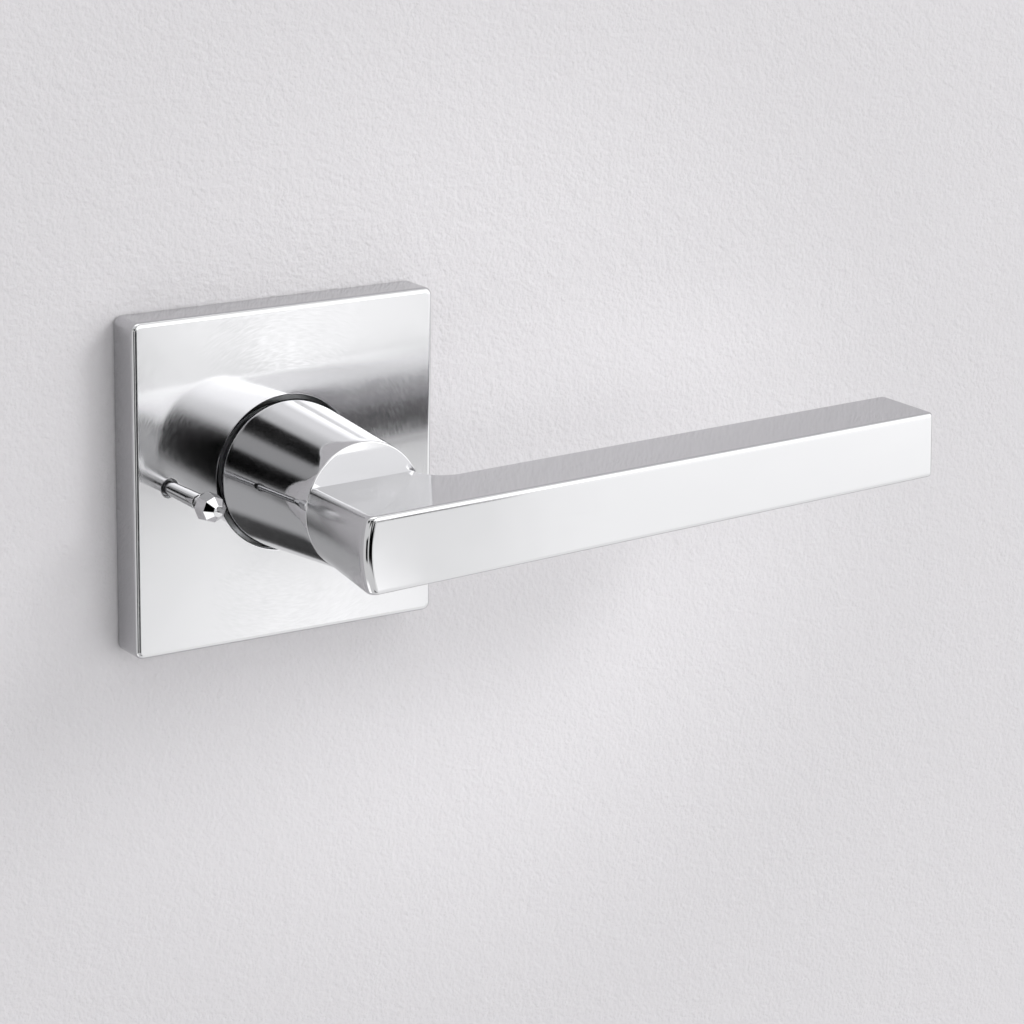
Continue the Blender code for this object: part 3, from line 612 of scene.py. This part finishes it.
def make_sleeve(steel):
    """The turned sleeve with its groove and the square hole for the spindle."""
    profile = [(0, SLEEVE_FRONT), (SLEEVE_RADIUS, SLEEVE_FRONT), (SLEEVE_RADIUS, GROOVE_HIGH)]
    profile += [(GROOVE_RADIUS, GROOVE_HIGH), (GROOVE_RADIUS, GROOVE_LOW), (SLEEVE_RADIUS, GROOVE_LOW)]
    profile += [(SLEEVE_RADIUS, SLEEVE_BACK), (0, SLEEVE_BACK)]
    turned = revolve(eased(profile, TURNED_EDGE), TURN_STEPS)
    sleeve = add_object("square_sleeve", mesh_of("square_sleeve", turned, LEVER_STAND))
    outline = rounded_square(SPINDLE_SIDE + 2 * GAP, SPINDLE_CORNER / 2, 4)
    span = (SLEEVE_BACK - TURNED_EDGE, SLEEVE_FRONT + TURNED_EDGE)
    sleeve = combine(sleeve, [(prism("square_helper", outline, *span, LEVER_STAND), "DIFFERENCE")])
    soften(sleeve)
    return finish_piece(sleeve, "lever", "pressed_steel", steel, "drive_sleeve")


def make_grub_screw(zinc):
    """The screw in the neck's underside, with a hexagon socket."""
    low = SLEEVE_RADIUS + GAP
    profile = [(0, GRUB_TOP), (GRUB_RADIUS - GRUB_CHAMFER, GRUB_TOP), (GRUB_RADIUS, GRUB_TOP - GRUB_CHAMFER)]
    profile += [(GRUB_RADIUS, low + GRUB_CHAMFER), (GRUB_RADIUS - GRUB_CHAMFER, low), (0, low)]
    down = LEVER_STAND @ Matrix.Translation((0, 0, GRUB_HEIGHT)) @ Matrix.Rotation(QUARTER, 4, "X")
    screw = add_object("grub_screw", mesh_of("grub_screw", revolve(profile, SMALL_TURN_STEPS), down))
    span = (GRUB_TOP - GRUB_SOCKET_DEPTH, GRUB_TOP + GRUB_CHAMFER)
    socket = prism("hexagon_helper", circle(GRUB_SOCKET_RADIUS, 6), *span, down)
    screw = combine(screw, [(socket, "DIFFERENCE")])
    soften(screw)
    return finish_piece(screw, "lever", "zinc_screw", zinc, "set_screw")


def bolt_body():
    """Head, plain shank and a helical thread, in rings from the end up to the crown."""
    bm = bmesh.new()
    count = round((THREAD_START - BOLT_END) / THREAD_PITCH * THREAD_RINGS)
    depth = BOLT_RADIUS - BOLT_ROOT_RADIUS
    rings = []
    for i in range(count + 1):
        height = BOLT_END + (THREAD_START - BOLT_END) * i / count
        fade = min(1, (count - i) / THREAD_RINGS)
        point = min(1, (i + 2) / (2 * THREAD_RINGS))
        radii = []
        for step in range(BOLT_STEPS):
            phase = ((height - BOLT_END) / THREAD_PITCH - step / BOLT_STEPS) % 1
            radius = BOLT_RADIUS - depth * fade * abs(2 * phase - 1)
            radii.append(radius * (BOLT_POINT_SHARE + (1 - BOLT_POINT_SHARE) * point))
        rings.append((height, radii))
    crown = PLATE_FRONT + BOLT_HEAD_HEIGHT
    rim = PLATE_FRONT + BOLT_HEAD_HEIGHT * BOLT_RIM_SHARE
    plain = [(PLATE_FRONT, BOLT_RADIUS)]
    plain += [(PLATE_FRONT, BOLT_HEAD_RADIUS - TURNED_EDGE), (PLATE_FRONT + TURNED_EDGE, BOLT_HEAD_RADIUS)]
    for i in range(CROWN_STEPS):
        turn = QUARTER * i / CROWN_STEPS
        height = rim + (crown - rim) * math.sin(turn)
        plain.append((height, BOLT_HEAD_RADIUS * math.cos(turn) ** 0.5))
    plain.append((crown, BOLT_HEAD_RADIUS / 4))
    rings += [(height, [radius] * BOLT_STEPS) for height, radius in plain]
    loops = []
    for height, radii in rings:
        outline = zip(radii, circle(1, BOLT_STEPS))
        loops.append(add_loop(bm, [(radius * x, radius * y) for radius, (x, y) in outline], height))
    bridge(bm, loops)
    bm.faces.new(loops[0])
    bm.faces.new(loops[-1])
    return bm


def make_bolt(name, side, node, zinc):
    place = STAND @ Matrix.Translation((0, side * BOLT_OFFSET, 0))
    bolt = add_object(name, mesh_of(name, bolt_body(), place))
    crown = PLATE_FRONT + BOLT_HEAD_HEIGHT
    span = (crown - RECESS_DEPTH, crown + GAP)
    helpers = []
    for x, y in ((RECESS_LENGTH / 2, RECESS_WIDTH / 2), (RECESS_WIDTH / 2, RECESS_LENGTH / 2)):
        outline = [(x, y), (-x, y), (-x, -y), (x, -y)]
        helpers.append((prism("recess_helper", outline, *span, place), "DIFFERENCE"))
    bolt = combine(bolt, helpers)
    soften(bolt)
    return finish_piece(bolt, "trim", "zinc_screw", zinc, node)


def tube(points, radius, sides):
    """A closed wire along the points, without twist."""
    bm = bmesh.new()
    points = [Vector(point) for point in points]
    last = len(points) - 1
    loops = []
    normal = None
    for i, point in enumerate(points):
        along = (points[min(i + 1, last)] - points[max(i - 1, 0)]).normalized()
        normal = along.orthogonal() if normal is None else normal - along * normal.dot(along)
        normal.normalize()
        cross = along.cross(normal)
        ring = [point + (normal * x + cross * y) * radius for x, y in circle(1, sides)]
        loops.append([bm.verts.new(place) for place in ring])
    bridge(bm, loops)
    bm.faces.new(loops[0])
    bm.faces.new(loops[-1])
    return bm


def make_spring(steel):
    """The coil round the sleeve with a straight leg at each end, bent out to the finger and the tab."""
    start = QUARTER + LEG_ANGLE
    end = QUARTER - LEG_ANGLE + TURN * COIL_TURNS
    count = COIL_TURNS * COIL_STEPS
    coil = []
    for i in range(count + 1):
        angle = start + (end - start) * i / count
        height = COIL_FRONT + (COIL_BACK - COIL_FRONT) * i / count
        coil.append((COIL_RADIUS * math.cos(angle), COIL_RADIUS * math.sin(angle), height))
    first, last = ((LEG_RADIUS * math.cos(a), LEG_RADIUS * math.sin(a)) for a in (start, end))
    legs = [(*first, COIL_BACK), (*first, COIL_FRONT)], [(*last, COIL_BACK), (*last, COIL_FRONT)]
    path = [Vector(point) for point in legs[0] + coil + legs[1]]
    rounded = [path[0]]
    for before, corner, after in zip(path, path[1:], path[2:]):
        back, ahead = before - corner, after - corner
        if back.angle(ahead) > SPRING_BEND_ANGLE:
            rounded.append(corner)
            continue
        start_point = corner + back.normalized() * min(COIL_WIRE, back.length / 3)
        end_point = corner + ahead.normalized() * min(COIL_WIRE, ahead.length / 3)
        for step in range(SPRING_BEND_STEPS + 1):
            t = step / SPRING_BEND_STEPS
            rounded.append(start_point * (1 - t) ** 2 + corner * 2 * t * (1 - t) + end_point * t**2)
    rounded.append(path[-1])
    wire = tube(rounded, COIL_WIRE, COIL_SIDES)
    spring = add_object("torsion_spring", mesh_of("torsion_spring", wire, STAND))
    soften(spring, ROUND_ANGLE)
    return finish_piece(spring, "trim", "spring_steel", steel, "return_spring")


def make_rod(steel):
    shoulder = YOKE_FRONT - YOKE_THICKNESS - GAP
    profile = [(0, YOKE_FRONT), (ROD_RADIUS - GAP, YOKE_FRONT), (ROD_RADIUS - GAP, shoulder)]
    profile += [(ROD_RADIUS, shoulder), (ROD_RADIUS, ROD_END + ROD_RADIUS / 2)]
    profile += [(ROD_RADIUS / 2, ROD_END), (0, ROD_END)]
    place = (ROD_X, PIN_Z)
    add_turned("snib_rod", profile, "privacy_pin", "pressed_steel", steel, "lock_rod", place=place, steps=48)


def refine_stamping(node, material):
    """A CAD node whose shape is right: its edges get the small round of a stamping."""
    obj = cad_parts[node]
    for slot in obj.material_slots:
        slot.material = material
    weld = obj.modifiers.new("Welded facets", "WELD")
    weld.merge_threshold = WELD
    bevel = obj.modifiers.new("Stamped edges", "BEVEL")
    bevel.width = STAMPED_EDGE
    bevel.segments = 2
    bevel.limit_method = "ANGLE"
    bevel.angle_limit = SMOOTH_ANGLE
    bevel.harden_normals = True


def shader_of(material):
    return material.node_tree.nodes["Principled BSDF"]


def new_material(name, colour, metallic, roughness):
    material = bpy.data.materials.new(name)
    material.use_nodes = True
    shader = shader_of(material)
    shader.inputs["Base Color"].default_value = (*colour, 1)
    shader.inputs["Metallic"].default_value = metallic
    shader.inputs["Roughness"].default_value = roughness
    return material


class Formula:
    """Builds the math nodes of one node tree."""

    def __init__(self, tree):
        self.tree = tree

    def node(self, kind, inputs, output=0, **settings):
        node = self.tree.nodes.new(kind)
        for name, value in settings.items():
            setattr(node, name, value)
        for key, value in inputs.items():
            if isinstance(value, bpy.types.NodeSocket):
                self.tree.links.new(value, node.inputs[key])
            else:
                node.inputs[key].default_value = value
        return node.outputs[output]

    def math(self, operation, *values):
        return self.node("ShaderNodeMath", dict(enumerate(values)), operation=operation)

    def ramp(self, value, low, high, start=0.0, end=1.0):
        """Rises smoothly from start to end as the value goes from low to high."""
        ends = {"Value": value, "From Min": low, "From Max": high, "To Min": start, "To Max": end}
        return self.node("ShaderNodeMapRange", ends, interpolation_type="SMOOTHSTEP")

    def mix(self, share, low, high):
        return self.node("ShaderNodeMix", {0: share, 2: low, 3: high})

    def noise(self, place, scale, detail=2.0, stretch=(1, 1, 1)):
        """Cloudy values round 0.5. The stretch lengthens the cloud along an axis where it is below 1."""
        if stretch != (1, 1, 1):
            place = self.node("ShaderNodeVectorMath", {0: place, 1: stretch}, operation="MULTIPLY")
        return self.node("ShaderNodeTexNoise", {"Vector": place, "Scale": scale, "Detail": detail})

    def relief(self, height, depth, under=None):
        """The surface normal of a relief of that depth, in metres, on top of another one."""
        inputs = {"Height": height, "Distance": depth}
        if under is not None:
            inputs["Normal"] = under
        return self.node("ShaderNodeBump", inputs)


def finish_surface(sums, material, roughness, normal, colour=None):
    shader = shader_of(material)
    sums.tree.links.new(roughness, shader.inputs["Roughness"])
    sums.tree.links.new(normal, shader.inputs["Normal"])
    if colour is not None:
        sums.tree.links.new(colour, shader.inputs["Base Color"])


def tinted(sums, share, low, high):
    """A colour between two, by a share."""
    mix = sums.tree.nodes.new("ShaderNodeMix")
    mix.data_type = "RGBA"
    sums.tree.links.new(share, mix.inputs["Factor"])
    mix.inputs["A"].default_value = (*low, 1)
    mix.inputs["B"].default_value = (*high, 1)
    return mix.outputs["Result"]


def scratches(sums, place, scale, directions):
    """Thin crossing hairlines, 0 to 1."""
    total = 0.0
    for stretch in directions:
        line = sums.noise(place, scale, 1.0, stretch)
        total = sums.math("MAXIMUM", total, sums.ramp(line, 0.66, 0.82))
    return total


def all_of(sums, shares):
    """The shares' product, which is 1 only where each of them is."""
    total = shares[0]
    for share in shares[1:]:
        total = sums.math("MULTIPLY", total, share)
    return total


def painted_shade_strip(sums, x, z):
    """Along the middle of the arm's back: a rougher strip, coloured dark as painted shade."""
    fallen = sums.math("MULTIPLY_ADD", x, -math.tan(REST_TILT), z)
    height = sums.math("ABSOLUTE", sums.math("ADD", fallen, ARM_DROP - SHADE_STRIP_HEIGHT))
    facing = sums.node("ShaderNodeSeparateXYZ", {0: sums.node("ShaderNodeTexCoord", {}, 1)}, 1)
    strip = sums.ramp(height, SHADE_STRIP_HALF / 2, SHADE_STRIP_HALF, 1.0, 0.0)
    along = sums.ramp(x, NECK_END_RADIUS + CROOK_RADIUS, NECK_END_RADIUS + 3 * CROOK_RADIUS)
    return all_of(sums, (strip, along, sums.ramp(facing, 0.6, 0.9)))


def heel_face(sums, x, y):
    """The end face at the neck, which is brushed off more coarsely than the rest."""
    deep = sums.ramp(y, -NECK_END - 2 * NECK_END_EDGE, -NECK_END - NECK_END_EDGE, 1.0, 0.0)
    shallow = sums.ramp(y, HEEL_CORNER - ARM_FRONT, 1.4 * HEEL_CORNER - ARM_FRONT)
    outer = sums.ramp(x, HEEL_CORNER - HEEL_REACH, HEEL_CORNER + ARM_EDGE - HEEL_REACH, 1.0, 0.0)
    return all_of(sums, (deep, shallow, outer))


def make_chrome():
    """Mirror chrome with handling haze, hairlines, the faint waviness of a polished casting and a dark strip
    of painted shade along the arm's back.
    """
    material = new_material("polished_chrome", CHROME, 1, 0.04)
    sums = Formula(material.node_tree)
    place = sums.node("ShaderNodeTexCoord", {}, 3)
    x, y, z = (sums.node("ShaderNodeSeparateXYZ", {0: place}, axis) for axis in range(3))
    # painted shade: where the arm's back is coloured dark and made rougher
    shade_strip = painted_shade_strip(sums, x, z)
    heel = heel_face(sums, x, y)
    haze = sums.ramp(sums.noise(place, 70, 4.0), 0.35, 0.7, *CHROME_HAZE)
    lines = scratches(sums, place, 900, ((0.04, 1, 1), (1, 1, 0.05)))
    roughness = sums.math("MULTIPLY_ADD", lines, HAIRLINE_ROUGHNESS, haze)
    roughness = sums.math("MULTIPLY_ADD", shade_strip, SHADE_STRIP_ROUGHNESS, roughness)
    roughness = sums.math("MULTIPLY_ADD", heel, HEEL_ROUGHNESS, roughness)
    wave = sums.relief(sums.noise(place, 85, 1.0), CASTING_WAVE)
    normal = sums.relief(lines, HAIRLINE_DEPTH, wave)
    # the strip's dark colour is painted shade
    finish_surface(sums, material, roughness, normal, tinted(sums, shade_strip, CHROME, SHADE_STRIP_COLOUR))
    return material


def make_spun_chrome():
    """The rose's chrome, polished in circles round the neck, so that it spreads light across them."""
    material = new_material("spun_chrome", CHROME, 1, 0.12)
    shader_of(material).inputs["Anisotropic"].default_value = SPUN_ANISOTROPY
    sums = Formula(material.node_tree)
    place = sums.node("ShaderNodeTexCoord", {}, 3)
    x, z = (sums.node("ShaderNodeSeparateXYZ", {0: place}, axis) for axis in (0, 2))
    radius = sums.math("SQRT", sums.math("ADD", sums.math("MULTIPLY", x, x), sums.math("MULTIPLY", z, z)))
    turn = sums.math("ARCTAN2", z, x)
    around = sums.math("MULTIPLY", turn, SPUN_GRAIN_STRETCH)
    polar = sums.node("ShaderNodeCombineXYZ", {0: radius, 1: around})
    grain = sums.noise(polar, SPUN_GRAIN, 3.0)
    haze = sums.noise(place, 60, 4.0)
    grained = sums.ramp(grain, 0.3, 0.7, SPUN_ROUGHNESS * 0.85, SPUN_ROUGHNESS * 1.15)
    roughness = sums.math("MULTIPLY", grained, sums.ramp(haze, 0.3, 0.7, 0.9, 1.1))
    wave = sums.relief(sums.noise(place, 60, 1.0), PRESSING_WAVE)
    normal = sums.relief(grain, SPUN_DEPTH, wave)
    finish_surface(sums, material, roughness, normal)
    tangent = sums.node("ShaderNodeTangent", {}, direction_type="RADIAL", axis="Y")
    sums.tree.links.new(tangent, shader_of(material).inputs["Tangent"])
    return material


def make_plated(name, low, high, rough, grain):
    """Blotchy plating with rubbed hairlines. rough is (least, most), and grain is the pits' depth."""
    material = new_material(name, low, 1, rough[0])
    sums = Formula(material.node_tree)
    place = sums.node("ShaderNodeTexCoord", {}, 3)
    blotch = sums.noise(place, 160, 4.0)
    lines = scratches(sums, place, 1100, ((0.05, 1, 1), (1, 0.05, 1), (1, 1, 0.05)))
    rubbed = sums.math("MULTIPLY", lines, RUBBED_ROUGHNESS)
    roughness = sums.math("SUBTRACT", sums.ramp(blotch, 0.3, 0.7, *rough), rubbed)
    colour = tinted(sums, sums.ramp(blotch, 0.35, 0.65), low, high)
    pits = sums.relief(sums.noise(place, 5000, 2.0), grain)
    normal = sums.relief(lines, RUBBED_DEPTH, pits)
    finish_surface(sums, material, roughness, normal, colour)
    return material


def make_nylon():
    """Black nylon with a fine moulded grain and greasy, rubbed patches."""
    material = new_material("nylon", NYLON_CLEAN, 0, 0.5)
    sums = Formula(material.node_tree)
    place = sums.node("ShaderNodeTexCoord", {}, 3)
    patch = sums.noise(place, 220, 3.0)
    roughness = sums.ramp(patch, 0.35, 0.65, *NYLON_ROUGHNESS)
    colour = tinted(sums, sums.ramp(patch, 0.3, 0.75), NYLON_CLEAN, NYLON_GREASED)
    normal = sums.relief(sums.noise(place, 6000, 2.0), NYLON_GRAIN)
    finish_surface(sums, material, roughness, normal, colour)
    return material


def make_raw_steel():
    """The rose's unpolished inner side, dark with drawing oil."""
    material = new_material("raw_steel", RAW_DARK, 0.6, 0.6)
    sums = Formula(material.node_tree)
    place = sums.node("ShaderNodeTexCoord", {}, 3)
    film = sums.noise(place, 120, 5.0)
    draw = sums.noise(place, 700, 2.0, (1, 0.06, 1))
    roughness = sums.ramp(film, 0.3, 0.7, *RAW_ROUGHNESS)
    colour = tinted(sums, sums.ramp(film, 0.35, 0.7), RAW_DARK, RAW_LIGHT)
    finish_surface(sums, material, roughness, sums.relief(draw, RAW_DRAW_LINES), colour)
    return material


def make_wall_paint():
    """Rolled paint with its orange peel, lightened round a spot right of the rose as painted light. From
    behind the wall isn't there, so that the mechanism shows.
    """
    material = new_material("wall_paint", WALL_PAINT, 0, 0.6)
    sums = Formula(material.node_tree)
    place = sums.node("ShaderNodeTexCoord", {}, 3)
    tone = sums.noise(place, 9, 3.0)
    # painted light: the paint is made lighter round one spot, as a pool of light would light it
    away = sums.node("ShaderNodeVectorMath", {0: place, 1: PAINTED_LIGHT_CENTRE}, 1, operation="DISTANCE")
    painted_light_share = sums.ramp(away, *PAINTED_LIGHT_FADE, 1.0, 0.0)
    light = tuple(value * PAINTED_LIGHT_GAIN for value in WALL_PAINT)
    colour = tinted(sums, sums.math("MULTIPLY_ADD", tone, 0.2, painted_light_share), WALL_PAINT, light)
    dimples = sums.relief(sums.noise(place, 1100, 2.0), ORANGE_PEEL)
    normal = sums.relief(sums.noise(place, 260, 3.0), ORANGE_PEEL, dimples)
    finish_surface(sums, material, sums.ramp(tone, 0.3, 0.7, *WALL_ROUGHNESS), normal, colour)
    behind = sums.node("ShaderNodeNewGeometry", {}, 6)
    clear = sums.node("ShaderNodeBsdfTransparent", {})
    seen = sums.node("ShaderNodeMixShader", {0: behind, 1: shader_of(material).outputs[0], 2: clear})
    sums.tree.links.new(seen, material.node_tree.nodes["Material Output"].inputs["Surface"])
    return material


def make_floor_paint():
    material = new_material("floor_paint", FLOOR_PAINT, 0, 0.7)
    sums = Formula(material.node_tree)
    place = sums.node("ShaderNodeTexCoord", {}, 3)
    tone = sums.noise(place, 3, 4.0)
    roughness = sums.ramp(tone, 0.3, 0.7, *FLOOR_ROUGHNESS)
    finish_surface(sums, material, roughness, sums.relief(sums.noise(place, 300, 3.0), 0.0002))
    return material


def make_camera():
    cos_a, sin_a = math.cos(CAMERA_AZIMUTH), math.sin(CAMERA_AZIMUTH)
    cos_e, sin_e = math.cos(CAMERA_ELEVATION), math.sin(CAMERA_ELEVATION)
    back = Vector((sin_a * cos_e, -cos_a * cos_e, sin_e))
    right = Vector((cos_a, sin_a, 0))
    turned = Matrix((right, back.cross(right), back)).transposed()
    place = Matrix.Translation(CAMERA_TARGET + back * CAMERA_DISTANCE)
    data = bpy.data.cameras.new("camera")
    data.lens = CAMERA_LENS
    data.sensor_width = CAMERA_SENSOR
    data.clip_start = CAMERA_NEAR
    camera = add_object("camera", data)
    camera.matrix_world = place @ turned.to_4x4() @ Matrix.Rotation(CAMERA_ROLL, 4, "Z")
    bpy.context.scene.camera = camera


def add_stage_plane(name, loops, stand, material):
    bm = bmesh.new()
    fill(bm, [add_loop(bm, loop, 0) for loop in loops])
    bmesh.ops.recalc_face_normals(bm, faces=bm.faces)
    if sum(face.normal.z for face in bm.faces) < 0:
        bmesh.ops.reverse_faces(bm, faces=bm.faces)
    bmesh.ops.transform(bm, matrix=stand, verts=bm.verts)
    mesh = bpy.data.meshes.new(name)
    bm.to_mesh(mesh)
    bm.free()
    plane = add_object(name, mesh)
    mesh.materials.append(material)
    return plane


def make_stage():
    half = WALL_HALF_WIDTH
    low = -FLOOR_DROP
    high = low + WALL_HEIGHT
    corners = [(-half, low), (half, low), (half, high), (-half, high)]
    opening = rounded_square(WALL_OPENING, ROSE_CORNER)
    add_stage_plane("wall", [corners, opening], WALL_STAND, make_wall_paint())
    reach = FLOOR_REACH
    corners = [(-reach, -reach), (reach, -reach), (reach, reach), (-reach, reach)]
    floor = add_stage_plane("floor", [corners], Matrix.Translation((0, 0, low)), make_floor_paint())
    floor.visible_glossy = False


# The studio, as soft-edged cards in the directions they lie in. Azimuth 0 is straight out of the wall
# and grows to the right. A card is (azimuths, elevations, soft edges, brightness), in degrees, and a
# later card lies over an earlier one.
STUDIO_FILL = 1.0
STUDIO_CARDS = (
    ((-60, -13), (19.5, 33.5), (4, 3), 0.8),  # dim end of the front light
    ((-12, 40), (17, 33), (8, 5), 1.85),  # front light
    ((3, 40), (10, 30), (14, 6), 2.7),
    ((-4, 40), (31, 41), (8, 5), 1.6),
    ((10, 40), (30, 38), (10, 5), 2.1),
    ((-13, 4), (-1, 16), (8, 6), 1.8),  # what the front of the arm faces
    ((-12, 10), (-7, 0), (6, 5), 0.35),
    ((36, 80), (-10, 50), (10, 8), 2.0),  # key softbox, to the right
    ((12, 39), (-7, 22), (8, 6), 2.75),
    ((25, 39), (-7, 26), (4, 5), 3.4),
    ((27.5, 34), (8, 17), (3, 2), 2.0),  # its centre bar
    ((26, 35), (15, 21), (3, 2), 1.5),
    ((12, 120), (-60, -11), (10, 4), 1.31),  # its spill below
    ((33.4, 75), (-19, -8), (2.5, 4), 1.55),
    ((34, 70), (-14.5, -8), (4, 3), 1.75),
    ((28.6, 30.3), (-15, -10), (1.6, 2), 2.7),  # a fold in its cloth
    ((29.2, 31.3), (-21, -16.6), (1.6, 1), 2.2),
    ((16, 32.8), (-14.8, -13.8), (1.0, 0.4), 0.12),  # the rail that it stands on
    ((-48, -15), (-1, 19), (5, 3), 0.0),  # the dark side that the camera stands on
    ((-28, -15), (-10, 3), (3, 4), 0.0),
    ((-32.5, -28), (-12, 3), (1.5, 5), 1.3),  # a window in it
    ((-28, -4), (32, 43), (5, 3), 0.0),  # a gap between two lights
    ((-20, 20), (-42, -32), (12, 3), 0.08),  # the dark edge of the table below
    ((-27, 14), (-20, -8), (5, 4), 0.0),  # stands and clamps
    ((-62, -40), (-21, -7), (4, 3), 0.0),
    ((-78, -58), (6, 25), (4, 4), 0.0),
    ((-200, 200), (62, 100), (1, 8), 2.4),  # the lamp overhead
    ((-100, -62), (-62, -36), (8, 6), 2.0),  # white paper on the table
)


def make_key_lamp():
    """A soft lamp up to the right, for the shadows beside and below the rose. Mirrors don't show it."""
    data = bpy.data.lights.new("key_lamp", "AREA")
    data.shape = "DISK"
    data.size = LAMP_SIZE
    data.energy = LAMP_POWER
    lamp = add_object("key_lamp", data)
    turn = Matrix.Rotation(LAMP_AZIMUTH, 4, "Z") @ Matrix.Rotation(QUARTER - LAMP_ELEVATION, 4, "X")
    lamp.matrix_world = turn @ Matrix.Translation((0, 0, LAMP_DISTANCE))
    lamp.visible_glossy = False


def make_world():
    world = bpy.data.worlds.new("studio")
    world.use_nodes = True
    tree = world.node_tree
    sums = Formula(tree)
    direction = sums.node("ShaderNodeTexCoord", {})
    x, y, z = (sums.node("ShaderNodeSeparateXYZ", {0: direction}, axis) for axis in range(3))
    azimuth = sums.math("DEGREES", sums.math("ARCTAN2", x, sums.math("MULTIPLY", y, -1.0)))
    elevation = sums.math("DEGREES", sums.math("ARCSINE", z))
    level = STUDIO_FILL
    for azimuths, elevations, soft, brightness in STUDIO_CARDS:
        share = 1.0
        for value, (low, high), edge in ((azimuth, azimuths, soft[0]), (elevation, elevations, soft[1])):
            rise = sums.ramp(value, low - edge / 2, low + edge / 2)
            fall = sums.ramp(value, high - edge / 2, high + edge / 2, 1.0, 0.0)
            share = sums.math("MULTIPLY", share, sums.math("MULTIPLY", rise, fall))
        level = sums.mix(share, level, brightness)
    tree.links.new(level, tree.nodes["Background"].inputs["Strength"])
    tree.nodes["Background"].inputs["Color"].default_value = (1, 1, 1, 1)
    bpy.context.scene.world = world


chrome = make_chrome()
spun_chrome = make_spun_chrome()
steel = make_plated("pressed_steel", STEEL_DULL, STEEL_BRIGHT, STEEL_ROUGHNESS, STEEL_GRAIN)
spring_steel = make_plated("spring_steel", SPRING_DARK, SPRING_LIGHT, SPRING_ROUGHNESS, SPRING_GRAIN)
zinc = make_plated("zinc_screw", ZINC_DULL, ZINC_BRIGHT, ZINC_ROUGHNESS, ZINC_GRAIN)
nylon = make_nylon()
make_camera()
make_stage()
make_key_lamp()
make_world()
make_rose(spun_chrome, make_raw_steel())
make_lever(chrome)
make_pin_knob(chrome)
make_pin_stem(chrome)
make_bearings(nylon, steel)
make_case(steel)
make_sleeve(steel)
make_grub_screw(zinc)
make_bolt("upper_bolt", 1, "through_bolt_upper", zinc)
make_bolt("lower_bolt", -1, "through_bolt_lower", zinc)
make_spring(spring_steel)
make_rod(steel)
for stamping in STEEL_STAMPINGS:
    refine_stamping(stamping, steel)
for stamping in SPRING_STAMPINGS:
    refine_stamping(stamping, spring_steel)
bpy.context.scene.view_settings.view_transform = "Standard"
